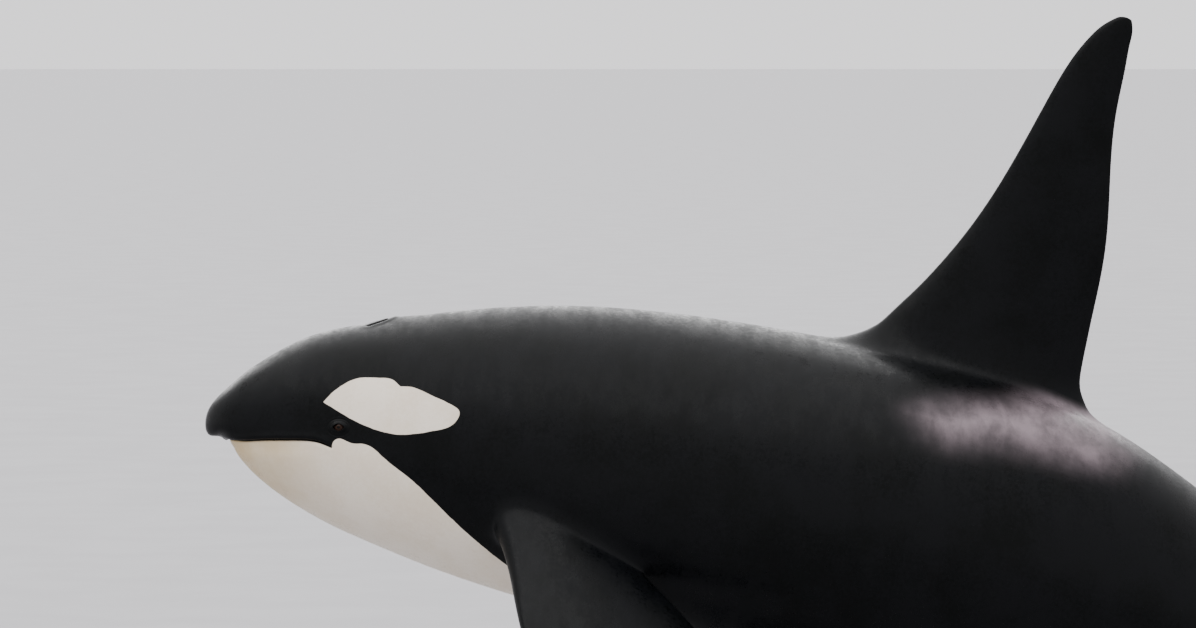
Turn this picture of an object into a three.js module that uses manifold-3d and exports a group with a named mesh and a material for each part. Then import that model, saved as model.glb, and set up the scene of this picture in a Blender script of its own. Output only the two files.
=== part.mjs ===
// A bull orca about 7.1 m long, arched as it rolls forward to breathe, as a life-size display
// model held over a flat base by two rods. Millimetres, +Z up. The snout points along -X and the
// animal's left side faces -Y. The origin is under the middle of the model, where the base stands.
//
// The animal is worked out on a straight spine first: `at` is the place along it from the tip of
// the snout, `h` the height over it and `y` the distance to the side. place() bends the spine.

import * as THREE from 'three';
import { mergeVertices } from 'three/addons/utils/BufferGeometryUtils.js';
import Module from 'manifold-3d';

const wasm = await Module();
wasm.setup();

// Driving dimensions
const bodyLength = 7110; // snout tip to the notch between the flukes
const bodyColumns = 48; // points round the body
const faceGap = 0.3; // between pieces that touch
const neckCut = 1120; // where the head meets the torso
const finCut = 2400; // where the front torso meets the rear one
const stockCut = 4350; // where the torso meets the tail stock

// How far the spine points down, in degrees, at places along it
const spinePitch = [
  [0, 7],
  [1200, 7.5],
  [2200, 8.5],
  [2900, 13],
  [3400, 19.5],
  [3900, 26],
  [4500, 30],
  [5200, 32],
  [6000, 31.5],
  [6600, 28.5],
  [7200, 24],
];

// The body's outline: the back over the spine, the belly under it, half the width, the height of
// the widest line, and the powers of the curves above and below that line (2 is an ellipse)
const bodyStations = [
  { at: 0, back: 0, belly: 0, half: 0, wide: 0, upper: 2.1, lower: 2.2 },
  { at: 30, back: 86, belly: -60, half: 78, wide: 2, upper: 2.1, lower: 2.3 },
  { at: 101, back: 171, belly: -73, half: 152, wide: 6, upper: 2.1, lower: 2.4 },
  { at: 138, back: 211, belly: -112, half: 178, wide: 4, upper: 2.1, lower: 2.3 },
  { at: 202, back: 267, belly: -173, half: 218, wide: 2, upper: 2.1, lower: 2.2 },
  { at: 300, back: 341, belly: -240, half: 263, wide: 0, upper: 2.1, lower: 2.15 },
  { at: 415, back: 404, belly: -299, half: 303, wide: -5, upper: 2.1, lower: 2.1 },
  { at: 540, back: 448, belly: -350, half: 338, wide: -12, upper: 2.05, lower: 2.1 },
  { at: 730, back: 504, belly: -408, half: 392, wide: -25, upper: 2, lower: 2.1 },
  { at: 1000, back: 573, belly: -478, half: 456, wide: -42, upper: 2, lower: 2.1 },
  { at: 1450, back: 646, belly: -560, half: 542, wide: -68, upper: 2, lower: 2.15 },
  { at: 2100, back: 664, belly: -650, half: 612, wide: -80, upper: 2, lower: 2.15 },
  { at: 2800, back: 642, belly: -713, half: 634, wide: -82, upper: 2, lower: 2.1 },
  { at: 3430, back: 588, belly: -716, half: 604, wide: -68, upper: 1.95, lower: 2.05 },
  { at: 3900, back: 482, belly: -664, half: 540, wide: -52, upper: 1.9, lower: 2 },
  { at: 4500, back: 372, belly: -532, half: 420, wide: -34, upper: 1.8, lower: 1.9 },
  { at: 5200, back: 285, belly: -388, half: 285, wide: -20, upper: 1.65, lower: 1.75 },
  { at: 5800, back: 228, belly: -286, half: 190, wide: -10, upper: 1.55, lower: 1.6 },
  { at: 6300, back: 172, belly: -204, half: 125, wide: -4, upper: 1.5, lower: 1.55 },
  { at: 6700, back: 106, belly: -118, half: 98, wide: 0, upper: 1.7, lower: 1.7 },
  { at: 7000, back: 50, belly: -54, half: 78, wide: 0, upper: 2, lower: 2 },
  { at: 7110, back: 22, belly: -24, half: 66, wide: 0, upper: 2, lower: 2 },
];

// The line of the closed mouth, from the chin back to its corner
const mouthLine = [
  [100, -64],
  [158, -57],
  [238, -39],
  [318, -25],
  [398, -13],
  [470, -11],
  [508, -19],
  [528, -24],
];
const chinAt = 100;
const mouthCorner = 528;
const jawAngle = [
  [590, -125],
  [700, -300],
  [800, -560],
]; // from the corner of the mouth down to the throat
const lipStep = 9; // the lower lip lies this far inside the upper one
const lipDepth = 75; // and comes out to the cheek again over this height
const mouthGroove = 7; // radius of the furrow between the lips

// Eyes, low on the head just behind the corner of the mouth
const eye = { at: 546, h: 58, radius: 28, depth: 22 };
const lids = { length: 50, height: 35, out: 34, openLength: 46, openHeight: 27, tilt: -8 };

// Blowhole, a crescent slit with its horns forward and a low lip behind it
const blowhole = { at: 688, horn: 84, halfWidth: 68, radius: 9, sunk: 3 };
const blowholeLip = { at: 730, length: 80, width: 95, height: 16, sunk: 11 };

// Dorsal fin, measured from a seat on the spine, square to the spine there
const finSeat = 3050;
const finSteps = 9; // faces across each side of every fin
const rowCrowding = 0.13; // draws a fin's rows together at its root and its tip
const finRows = 18;
const finStations = [
  { up: 500, lead: -700, trail: 430, thick: 240 },
  { up: 600, lead: -700, trail: 395, thick: 232 },
  { up: 640, lead: -668, trail: 345, thick: 214 },
  { up: 665, lead: -600, trail: 328, thick: 202 },
  { up: 740, lead: -516, trail: 314, thick: 172 },
  { up: 860, lead: -440, trail: 307, thick: 148 },
  { up: 1000, lead: -359, trail: 299, thick: 130 },
  { up: 1200, lead: -265, trail: 290, thick: 112 },
  { up: 1500, lead: -168, trail: 231, thick: 92 },
  { up: 1800, lead: -93, trail: 178, thick: 70 },
  { up: 2000, lead: -28, trail: 168, thick: 52 },
  { up: 2100, lead: 29, trail: 163, thick: 38 },
  { up: 2145, lead: 74, trail: 155, thick: 26 },
  { up: 2160, lead: 102, trail: 134, thick: 16 },
];

// Flippers, broad paddles that hang out, down and back from the lower flank
const flipperRoot = { at: 1475, h: -285 };
const flipperLie = { aft: 0.46, out: 0.66, down: 0.6 };
const flipperFace = { aft: 0.1, out: 0.62, up: 0.78 };
const flipperCurl = 90; // how far the tip bends down out of the root's plane
const flipperRows = 16;
const flipperStations = [
  { up: -330, lead: -214, trail: 205, thick: 204 },
  { up: -130, lead: -228, trail: 216, thick: 200 },
  { up: 0, lead: -240, trail: 225, thick: 190 },
  { up: 300, lead: -318, trail: 310, thick: 150 },
  { up: 600, lead: -372, trail: 400, thick: 118 },
  { up: 900, lead: -372, trail: 440, thick: 90 },
  { up: 1200, lead: -296, trail: 410, thick: 62 },
  { up: 1400, lead: -178, trail: 326, thick: 42 },
  { up: 1515, lead: -50, trail: 216, thick: 28 },
  { up: 1560, lead: 50, trail: 120, thick: 16 },
];

// Flukes, each measured out from the middle of the tail, with a place along the spine for its
// leading and trailing edge
const flukeDroop = 95; // the tips of a bull's flukes curl down
const flukeRows = 14;
const flukeStations = [
  { up: 55, lead: 6280, trail: 7160, thick: 132 },
  { up: 150, lead: 6395, trail: 7205, thick: 118 },
  { up: 300, lead: 6560, trail: 7215, thick: 94 },
  { up: 500, lead: 6735, trail: 7205, thick: 70 },
  { up: 700, lead: 6890, trail: 7212, thick: 52 },
  { up: 900, lead: 7040, trail: 7238, thick: 36 },
  { up: 1010, lead: 7132, trail: 7256, thick: 26 },
  { up: 1065, lead: 7192, trail: 7268, thick: 19 },
  { up: 1085, lead: 7228, trail: 7272, thick: 13 },
];

// Stand
const tailClearance = 115; // from the floor up to the lowest point of the flukes
const base = { length: 2600, width: 1600, thick: 70, corner: 140, bevel: 8 };
const rod = { radius: 45, sides: 20, front: 1950, rear: 3700, intoBody: 160 };
const collar = { flange: 115, flangeThick: 18, sleeve: 66, height: 130, bevel: 6 };

// A natural cubic curve through [x, value] points
function curveThrough(points) {
  const xs = points.map((p) => p[0]);
  const ys = points.map((p) => p[1]);
  const last = xs.length - 1;
  const bend = new Array(last + 1).fill(0);
  const share = new Array(last + 1).fill(0);
  for (let i = 1; i < last; i += 1) {
    const before = xs[i] - xs[i - 1];
    const after = xs[i + 1] - xs[i];
    const turn = (ys[i + 1] - ys[i]) / after - (ys[i] - ys[i - 1]) / before;
    const pivot = 2 * (before + after) - before * share[i - 1];
    share[i] = after / pivot;
    bend[i] = (6 * turn - before * bend[i - 1]) / pivot;
  }
  for (let i = last - 1; i > 0; i -= 1) bend[i] -= share[i] * bend[i + 1];
  return (x) => {
    let i = 0;
    while (i < last - 1 && x > xs[i + 1]) i += 1;
    const step = xs[i + 1] - xs[i];
    const a = (xs[i + 1] - x) / step;
    const b = (x - xs[i]) / step;
    const sag = ((a ** 3 - a) * bend[i] + (b ** 3 - b) * bend[i + 1]) * step * step;
    return a * ys[i] + b * ys[i + 1] + sag / 6;
  };
}

const clamp = THREE.MathUtils.clamp;
const smooth = THREE.MathUtils.smoothstep;
const degrees = THREE.MathUtils.degToRad;

// The bent spine, summed in short steps
const pitchCurve = curveThrough(spinePitch);
const spineStep = 10;
const spineEnd = 7200;
const spinePoints = [{ x: 0, z: 0 }];
for (let s = 0; s < spineEnd; s += spineStep) {
  const pitch = degrees(pitchCurve(s + spineStep / 2));
  const from = spinePoints[spinePoints.length - 1];
  spinePoints.push({
    x: from.x + spineStep * Math.cos(pitch),
    z: from.z - spineStep * Math.sin(pitch),
  });
}

function spineAt(at) {
  const pitch = degrees(pitchCurve(clamp(at, 0, spineEnd)));
  const step = clamp(Math.floor(at / spineStep), 0, spinePoints.length - 1);
  const over = at - step * spineStep;
  const from = spinePoints[step];
  return {
    x: from.x + over * Math.cos(pitch),
    z: from.z - over * Math.sin(pitch),
    pitch,
  };
}

function place(at, y, h) {
  const spine = spineAt(at);
  return new THREE.Vector3(
    spine.x + h * Math.sin(spine.pitch),
    y,
    spine.z + h * Math.cos(spine.pitch),
  );
}

// The body's measures run over the root of the distance, which rounds the tip of the snout
function bodyCurve(measure) {
  const curve = curveThrough(bodyStations.map((s) => [Math.sqrt(s.at), s[measure]]));
  return (at) => curve(Math.sqrt(clamp(at, 0, bodyLength)));
}

const backAt = bodyCurve('back');
const bellyAt = bodyCurve('belly');
const halfAt = bodyCurve('half');
const wideAt = bodyCurve('wide');
const upperPowerAt = bodyCurve('upper');
const lowerPowerAt = bodyCurve('lower');
const mouthAt = curveThrough(mouthLine);

// A point of the body's section: turn 0 is the back, half a turn the belly
function sectionPoint(at, turn, grow = 0) {
  const wide = wideAt(at);
  const high = Math.cos(turn) >= 0;
  const rise = (high ? backAt(at) - wide : wide - bellyAt(at)) + grow;
  const power = 2 / (high ? upperPowerAt(at) : lowerPowerAt(at));
  const across = Math.sin(turn);
  const up = Math.cos(turn);
  return {
    y: (halfAt(at) + grow) * Math.sign(across) * Math.abs(across) ** power,
    h: wide + rise * Math.sign(up) * Math.abs(up) ** power,
  };
}

// How far the skin is from the middle plane at a height h
function skinAside(at, h) {
  const wide = wideAt(at);
  const rise = h > wide ? backAt(at) - wide : wide - bellyAt(at);
  const power = h > wide ? upperPowerAt(at) : lowerPowerAt(at);
  const share = clamp(Math.abs(h - wide) / rise, 0, 1);
  return halfAt(at) * Math.max(0, 1 - share ** power) ** (1 / power);
}

// How far the lower lip and the cheek under it lie inside the upper lip
function lipInset(at, h) {
  const along = 1 - smooth(at, mouthCorner - 150, mouthCorner + 10);
  const down = 1 - smooth(mouthAt(clamp(at, chinAt, mouthCorner)) - h, 0, lipDepth);
  return lipStep * along * down;
}

// Places of the body's rings, close together at the snout
function ringPlaces() {
  const closest = 6;
  const growth = 0.14;
  const widest = 150;
  const places = [];
  let at = closest / 2;
  while (at < bodyLength) {
    places.push(at);
    at += Math.min(widest, closest + growth * at);
  }
  places.push(bodyLength);
  return places;
}

// The whole body without fins, closed at both ends. A grown one clears what is cut against it.
function bodySkin({ grow = 0, jaw = false } = {}) {
  const places = ringPlaces();
  const positions = [];
  const index = [];
  for (const at of places) {
    for (let k = 0; k < bodyColumns; k += 1) {
      const point = sectionPoint(at, (2 * Math.PI * k) / bodyColumns, grow);
      const inset = jaw ? lipInset(at, point.h) : 0;
      const y = point.y - Math.sign(point.y) * Math.min(inset, Math.abs(point.y));
      positions.push(...place(at, y, point.h).toArray());
    }
  }
  for (let ring = 0; ring < places.length - 1; ring += 1) {
    for (let k = 0; k < bodyColumns; k += 1) {
      const a = ring * bodyColumns + k;
      const b = ring * bodyColumns + ((k + 1) % bodyColumns);
      index.push(a, b, b + bodyColumns, a, b + bodyColumns, a + bodyColumns);
    }
  }
  const snout = positions.length / 3;
  positions.push(...place(-grow, 0, 0).toArray());
  positions.push(...place(bodyLength + 6 + grow, 0, 0).toArray());
  const lastRing = (places.length - 1) * bodyColumns;
  for (let k = 0; k < bodyColumns; k += 1) {
    const next = (k + 1) % bodyColumns;
    index.push(snout, next, k);
    index.push(snout + 1, lastRing + k, lastRing + next);
  }
  return facingOut(positions, index);
}

// A geometry whose faces point out, whichever way its loops ran
function facingOut(positions, index) {
  const corner = (i) => new THREE.Vector3().fromArray(positions, 3 * i);
  let volume = 0;
  for (let i = 0; i < index.length; i += 3) {
    const [a, b, c] = [corner(index[i]), corner(index[i + 1]), corner(index[i + 2])];
    volume += a.dot(b.cross(c));
  }
  if (volume < 0) index.reverse();
  const geometry = new THREE.BufferGeometry();
  geometry.setAttribute('position', new THREE.Float32BufferAttribute(positions, 3));
  geometry.setIndex(index);
  return geometry;
}

// A closed blade of two faces that meet at a leading and a trailing edge, with a root and a tip.
// Both faces are split into triangles alike. pointAt takes the shares of the way out and across.
function blade(rows, steps, pointAt) {
  const round = 2 * steps;
  const positions = [];
  const index = [];
  for (let row = 0; row <= rows; row += 1) {
    for (let k = 0; k < round; k += 1) {
      const step = k <= steps ? k : round - k;
      const side = k <= steps ? 1 : -1;
      positions.push(...pointAt(row / rows, step / steps, side).toArray());
    }
  }
  for (let row = 0; row < rows; row += 1) {
    for (let k = 0; k < round; k += 1) {
      const a = row * round + k;
      const b = row * round + ((k + 1) % round);
      const c = b + round;
      const d = a + round;
      if (k < steps) index.push(a, b, c, a, c, d);
      else index.push(a, b, d, b, c, d);
    }
  }
  const cap = (first, turned) => {
    const corners = [];
    for (let step = 0; step < steps; step += 1) {
      const near = [first + step, first + ((round - step) % round)];
      const far = [first + step + 1, first + round - step - 1];
      if (step > 0) corners.push([near[0], near[1], far[0]]);
      if (step < steps - 1) corners.push([near[1], far[1], far[0]]);
      if (step === 0) corners[corners.length - 1] = [near[0], far[1], far[0]];
    }
    for (const [a, b, c] of corners) index.push(...(turned ? [a, c, b] : [a, b, c]));
  };
  cap(0, false);
  cap(rows * round, true);
  return facingOut(positions, index);
}

// Half the thickness of a fin's section, full at two fifths of the chord and thin behind
function finSection(share) {
  const fullest = 0.4426;
  return (share ** 0.5 * (1 - share) ** 0.7) / fullest / 2;
}

// The edges and thickness of a fin at a share of the way from its root to its tip
function finMeasures(stations) {
  const first = stations[0].up;
  const span = stations[stations.length - 1].up - first;
  const curve = (key) => curveThrough(stations.map((s) => [s.up, s[key]]));
  const [lead, trail, thick] = [curve('lead'), curve('trail'), curve('thick')];
  return (out, across) => {
    const up = first + span * (out - rowCrowding * Math.sin(2 * Math.PI * out));
    const share = (1 - Math.cos(Math.PI * across)) / 2;
    return {
      up,
      chord: lead(up) + (trail(up) - lead(up)) * share,
      half: thick(up) * finSection(share),
    };
  };
}

// Solids for joining and cutting
function solidOf(geometry) {
  const bare = geometry.clone();
  bare.deleteAttribute('normal');
  bare.deleteAttribute('uv');
  const merged = mergeVertices(bare, 1e-4);
  return new wasm.Manifold(
    new wasm.Mesh({
      numProp: 3,
      vertProperties: new Float32Array(merged.attributes.position.array),
      triVerts: new Uint32Array(merged.index.array),
    }),
  );
}

function geometryOf(solid) {
  const bodies = solid.decompose().sort((a, b) => b.volume() - a.volume());
  const mesh = bodies[0].getMesh();
  const geometry = new THREE.BufferGeometry();
  geometry.setAttribute('position', new THREE.Float32BufferAttribute(mesh.vertProperties, 3));
  geometry.setIndex(new THREE.Uint32BufferAttribute(mesh.triVerts, 1));
  return geometry;
}

// A prism across the body from an outline of [at, h] points in its middle plane
function prismAcross(outline) {
  const halfDepth = 1500;
  const shape = new THREE.Shape(
    outline.map(([at, h]) => {
      const point = place(at, 0, h);
      return new THREE.Vector2(point.x, point.z);
    }),
  );
  const geometry = new THREE.ExtrudeGeometry(shape, { depth: 2 * halfDepth, bevelEnabled: false });
  geometry.rotateX(Math.PI / 2);
  geometry.translate(0, halfDepth, 0);
  return solidOf(geometry);
}

function slab(from, to) {
  const reach = 1100;
  return prismAcross([
    [from, -reach],
    [to, -reach],
    [to, reach],
    [from, reach],
  ]);
}

// The space of the lower jaw, moved away from the head by `shift`
function jawSpace(shift) {
  const steps = 20;
  const ahead = { at: 20, drop: 12 }; // the cut runs out under the tip of the snout
  const line = [];
  for (let k = 0; k <= steps; k += 1) {
    const at = chinAt + ((mouthCorner - chinAt) * k) / steps;
    line.push([at, mouthAt(at)]);
  }
  line.push(...jawAngle);
  const moved = line.map(([at, h]) => [at - (at > mouthCorner ? shift : 0), h - shift]);
  const deep = jawAngle[jawAngle.length - 1][1];
  const front = mouthAt(chinAt) - ahead.drop;
  return prismAcross([[ahead.at, front - shift], ...moved, [ahead.at, deep - shift]]);
}

// A round furrow along a line of points
function furrow(points, radius) {
  const sides = 6;
  const ring = new THREE.Shape();
  ring.moveTo(radius, 0);
  for (let k = 1; k < sides; k += 1) {
    const turn = (2 * Math.PI * k) / sides;
    ring.lineTo(radius * Math.cos(turn), radius * Math.sin(turn));
  }
  const path = new THREE.CatmullRomCurve3(points, false, 'centripetal');
  const geometry = new THREE.ExtrudeGeometry(ring, {
    steps: Math.round(1.5 * points.length),
    extrudePath: path,
    bevelEnabled: false,
  });
  return solidOf(geometry);
}

function mouthFurrow() {
  const steps = 16;
  const foremost = chinAt + 4;
  const crowding = 1.8; // draws the points together at the chin
  const side = [];
  for (let k = 0; k < steps; k += 1) {
    const at = mouthCorner - (mouthCorner - foremost) * (1 - (1 - k / steps) ** crowding);
    const h = mouthAt(at);
    side.push([at, skinAside(at, h), h]);
  }
  const left = side.map(([at, y, h]) => place(at, -y, h));
  const right = side.map(([at, y, h]) => place(at, y, h)).reverse();
  return furrow([...left, place(chinAt - 1, 0, mouthAt(chinAt)), ...right], mouthGroove);
}

function blowholeFurrow() {
  const half = 4; // points on each side of the middle
  const points = [];
  for (let k = -half; k <= half; k += 1) {
    const share = k / half;
    const at = blowhole.at - blowhole.horn * share * share;
    const y = blowhole.halfWidth * share;
    const rise = backAt(at) - wideAt(at);
    const h = wideAt(at) + rise * Math.sqrt(1 - (y / halfAt(at)) ** 2);
    points.push(place(at, y, h - blowhole.sunk));
  }
  return furrow(points, blowhole.radius);
}

function blowholeRim() {
  const mound = new THREE.SphereGeometry(1, 18, 12);
  mound.scale(blowholeLip.length, blowholeLip.width, blowholeLip.height);
  const { at, length, sunk } = blowholeLip;
  const slope = Math.atan2(backAt(at + length) - backAt(at - length), 2 * length);
  mound.rotateY(spineAt(at).pitch - slope);
  const seat = place(at, 0, backAt(at) - sunk);
  mound.translate(seat.x, seat.y, seat.z);
  return solidOf(mound);
}

// The eye's own frame on one side (-1 left, 1 right): back along the skin, up it and out of it
function eyeFrame(side) {
  const near = 12;
  const on = (at, h) => place(at, side * skinAside(at, h), h);
  const seat = on(eye.at, eye.h);
  const aft = on(eye.at + near, eye.h).sub(on(eye.at - near, eye.h)).normalize();
  const up = on(eye.at, eye.h + near).sub(on(eye.at, eye.h - near)).normalize();
  const out = new THREE.Vector3().crossVectors(aft, up).normalize();
  if (out.y * side < 0) out.negate();
  const squareUp = new THREE.Vector3().crossVectors(out, aft).normalize();
  if (squareUp.z < 0) squareUp.negate();
  const centre = seat.clone().addScaledVector(out, -eye.depth);
  return { centre, aft, up: squareUp, out };
}

// Sets a geometry made round the origin in the eye's frame. Its +Y points to the animal's right.
function inEyeFrame(geometry, side) {
  const { centre, aft, up, out } = eyeFrame(side);
  const right = out.clone().multiplyScalar(side);
  const turned = new THREE.Matrix4().makeBasis(aft, right, up);
  turned.setPosition(centre);
  return geometry.applyMatrix4(turned);
}

function eyeBall(side, radius) {
  return inEyeFrame(new THREE.SphereGeometry(radius, 20, 12), side);
}

function lidMound(side) {
  const mound = new THREE.SphereGeometry(1, 22, 14);
  mound.scale(lids.length, lids.out, lids.height);
  return solidOf(inEyeFrame(mound, side));
}

// The almond opening between the lids, through the skin and into the eye's socket
function lidOpening(side) {
  const half = lids.openLength / 2;
  const rise = lids.openHeight;
  const almond = new THREE.Shape();
  almond.moveTo(-half, 0);
  almond.quadraticCurveTo(0, rise, half, 0);
  almond.quadraticCurveTo(0, -rise, -half, 0);
  const depth = 70;
  const prism = new THREE.ExtrudeGeometry(almond, { depth, bevelEnabled: false, curveSegments: 6 });
  prism.rotateZ(degrees(lids.tilt));
  prism.rotateX(Math.PI / 2);
  if (side > 0) prism.translate(0, depth, 0);
  return solidOf(inEyeFrame(prism, side));
}

// The fins, still running into the body
function dorsalFin() {
  const seat = spineAt(finSeat);
  const [cos, sin] = [Math.cos(seat.pitch), Math.sin(seat.pitch)];
  const measure = finMeasures(finStations);
  return blade(finRows, finSteps, (out, across, side) => {
    const { up, chord, half } = measure(out, across);
    return new THREE.Vector3(
      seat.x + chord * cos + up * sin,
      side * half,
      seat.z - chord * sin + up * cos,
    );
  });
}

function flipper(side) {
  const pitch = spineAt(flipperRoot.at).pitch;
  const aft = new THREE.Vector3(Math.cos(pitch), 0, -Math.sin(pitch));
  const up = new THREE.Vector3(Math.sin(pitch), 0, Math.cos(pitch));
  const out = new THREE.Vector3(0, side, 0);
  const mix = (a, b, c) =>
    new THREE.Vector3().addScaledVector(aft, a).addScaledVector(out, b).addScaledVector(up, c);
  const along = mix(flipperLie.aft, flipperLie.out, -flipperLie.down).normalize();
  const face = mix(flipperFace.aft, flipperFace.out, flipperFace.up);
  face.addScaledVector(along, -face.dot(along)).normalize();
  const chordWay = new THREE.Vector3().crossVectors(face, along).normalize();
  if (chordWay.dot(aft) < 0) chordWay.negate();
  const { at, h } = flipperRoot;
  const seat = place(at, side * skinAside(at, h), h);
  const reach = flipperStations[flipperStations.length - 1].up;
  const measure = finMeasures(flipperStations);
  return blade(flipperRows, finSteps, (share, across, way) => {
    const { up: span, chord, half } = measure(share, across);
    const curl = -flipperCurl * Math.max(0, span / reach) ** 2;
    return seat
      .clone()
      .addScaledVector(along, span)
      .addScaledVector(chordWay, chord)
      .addScaledVector(face, way * half + curl);
  });
}

function fluke(side) {
  const measure = finMeasures(flukeStations);
  const reach = flukeStations[flukeStations.length - 1].up;
  return blade(flukeRows, finSteps, (share, across, way) => {
    const { up: span, chord, half } = measure(share, across);
    const droop = -flukeDroop * (span / reach) ** 3;
    return place(chord, side * span, droop + way * half);
  });
}

// Colours of the parts
const blackSkin = { color: 0x1a1b1f, roughness: 0.35, metalness: 0 };
const whiteSkin = { color: 0xd9d3c8, roughness: 0.4, metalness: 0 };
const eyeGloss = { color: 0x1d1512, roughness: 0.08, metalness: 0 };
const standPaint = { color: 0x8d9093, roughness: 0.5, metalness: 0 };
const standSteel = { color: 0x9a9c9e, roughness: 0.35, metalness: 0.8 };

function node(name, geometry, look) {
  const mesh = new THREE.Mesh(geometry, new THREE.MeshStandardMaterial(look));
  mesh.name = name;
  return mesh;
}

// The body parted into head, jaw, torso and tail stock
const whole = solidOf(bodySkin());
const clear = solidOf(bodySkin({ grow: faceGap + 0.1 }));
const mouth = mouthFurrow();
const halfGap = faceGap / 2;

function headSolid() {
  let head = whole.intersect(slab(-200, neckCut - halfGap));
  head = head.subtract(jawSpace(-halfGap)).subtract(mouth);
  head = head.add(blowholeRim()).subtract(blowholeFurrow());
  for (const side of [-1, 1]) {
    head = head.add(lidMound(side));
    head = head.subtract(solidOf(eyeBall(side, eye.radius))).subtract(lidOpening(side));
  }
  return head;
}

function jawSolid() {
  return solidOf(bodySkin({ jaw: true })).intersect(jawSpace(halfGap)).subtract(mouth);
}

const whale = new THREE.Group();
whale.add(node('head', geometryOf(headSolid()), blackSkin));
whale.add(node('lower_jaw', geometryOf(jawSolid()), whiteSkin));
const cuts = [
  ['torso_front', neckCut, finCut],
  ['torso_rear', finCut, stockCut],
  ['tail_stock', stockCut, bodyLength + 200],
];
for (const [name, from, to] of cuts) {
  const length = whole.intersect(slab(from + halfGap, to - halfGap));
  whale.add(node(name, geometryOf(length), blackSkin));
}

const finGeometries = [
  ['dorsal_fin', dorsalFin()],
  ['flipper_left', flipper(-1)],
  ['flipper_right', flipper(1)],
  ['fluke_left', fluke(-1)],
  ['fluke_right', fluke(1)],
];
let lowest = Infinity;
for (const [name, geometry] of finGeometries) {
  const cut = geometryOf(solidOf(geometry).subtract(clear));
  cut.computeBoundingBox();
  lowest = Math.min(lowest, cut.boundingBox.min.z);
  whale.add(node(name, cut, blackSkin));
}
whale.add(node('eye_left', eyeBall(-1, eye.radius - faceGap), eyeGloss));
whale.add(node('eye_right', eyeBall(1, eye.radius - faceGap), eyeGloss));

// The stand, in the same frame as the animal until the whole is set on its origin
const floorLevel = lowest - tailClearance;
const baseTop = floorLevel + base.thick;
const rodPlaces = { front: spineAt(rod.front), rear: spineAt(rod.rear) };
const baseMiddle = (rodPlaces.front.x + rodPlaces.rear.x) / 2;

function standBase() {
  const halfLength = base.length / 2 - base.bevel;
  const halfWidth = base.width / 2 - base.bevel;
  const corner = base.corner - base.bevel;
  const plate = new THREE.Shape();
  plate.moveTo(-halfLength + corner, -halfWidth);
  plate.lineTo(halfLength - corner, -halfWidth);
  plate.absarc(halfLength - corner, -halfWidth + corner, corner, -Math.PI / 2, 0);
  plate.lineTo(halfLength, halfWidth - corner);
  plate.absarc(halfLength - corner, halfWidth - corner, corner, 0, Math.PI / 2);
  plate.lineTo(-halfLength + corner, halfWidth);
  plate.absarc(-halfLength + corner, halfWidth - corner, corner, Math.PI / 2, Math.PI);
  plate.lineTo(-halfLength, -halfWidth + corner);
  plate.absarc(-halfLength + corner, -halfWidth + corner, corner, Math.PI, 1.5 * Math.PI);
  const geometry = new THREE.ExtrudeGeometry(plate, {
    depth: base.thick - 2 * base.bevel,
    bevelSize: base.bevel,
    bevelThickness: base.bevel,
    bevelSegments: 1,
    curveSegments: 5,
  });
  geometry.translate(baseMiddle, 0, floorLevel + base.bevel);
  return geometryOf(solidOf(geometry));
}

// A rod from the base up to the belly, its top shaped to the skin
function standRod(spine) {
  const bottom = baseTop + faceGap;
  const height = spine.z - rod.intoBody - bottom;
  const geometry = new THREE.CylinderGeometry(rod.radius, rod.radius, height, rod.sides);
  geometry.rotateX(Math.PI / 2);
  geometry.translate(spine.x, 0, bottom + height / 2);
  return geometryOf(solidOf(geometry).subtract(clear));
}

// A flanged sleeve that holds a rod's foot on the base
function standCollar(spine) {
  const bore = rod.radius + faceGap;
  const profile = [
    [bore, 0],
    [collar.flange - collar.bevel, 0],
    [collar.flange, collar.bevel / 2],
    [collar.flange, collar.flangeThick - collar.bevel],
    [collar.flange - collar.bevel, collar.flangeThick],
    [collar.sleeve, collar.flangeThick],
    [collar.sleeve, collar.height - collar.bevel],
    [collar.sleeve - collar.bevel, collar.height],
    [bore, collar.height],
    [bore, 0],
  ];
  const points = profile.map(([x, y]) => new THREE.Vector2(x, y));
  const geometry = new THREE.LatheGeometry(points, rod.sides);
  geometry.rotateX(Math.PI / 2);
  geometry.translate(spine.x, 0, baseTop + faceGap);
  return geometryOf(solidOf(geometry));
}

const stand = new THREE.Group();
stand.add(node('stand_base', standBase(), standPaint));
for (const [where, spine] of Object.entries(rodPlaces)) {
  stand.add(node(`stand_rod_${where}`, standRod(spine), standSteel));
  stand.add(node(`stand_collar_${where}`, standCollar(spine), standPaint));
}

const orca = new THREE.Group();
orca.add(whale, stand);
const bounds = new THREE.Box3().setFromObject(orca, true);
orca.position.set(-(bounds.min.x + bounds.max.x) / 2, 0, -floorLevel);

export default orca;
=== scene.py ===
# Looks of a life-size display model of a bull orca, arched as it rolls forward to breathe.
# Metres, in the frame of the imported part: the snout points along -X, the left side faces -Y.
import math

import bmesh
import bpy
import numpy as np
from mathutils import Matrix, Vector, kdtree


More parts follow.
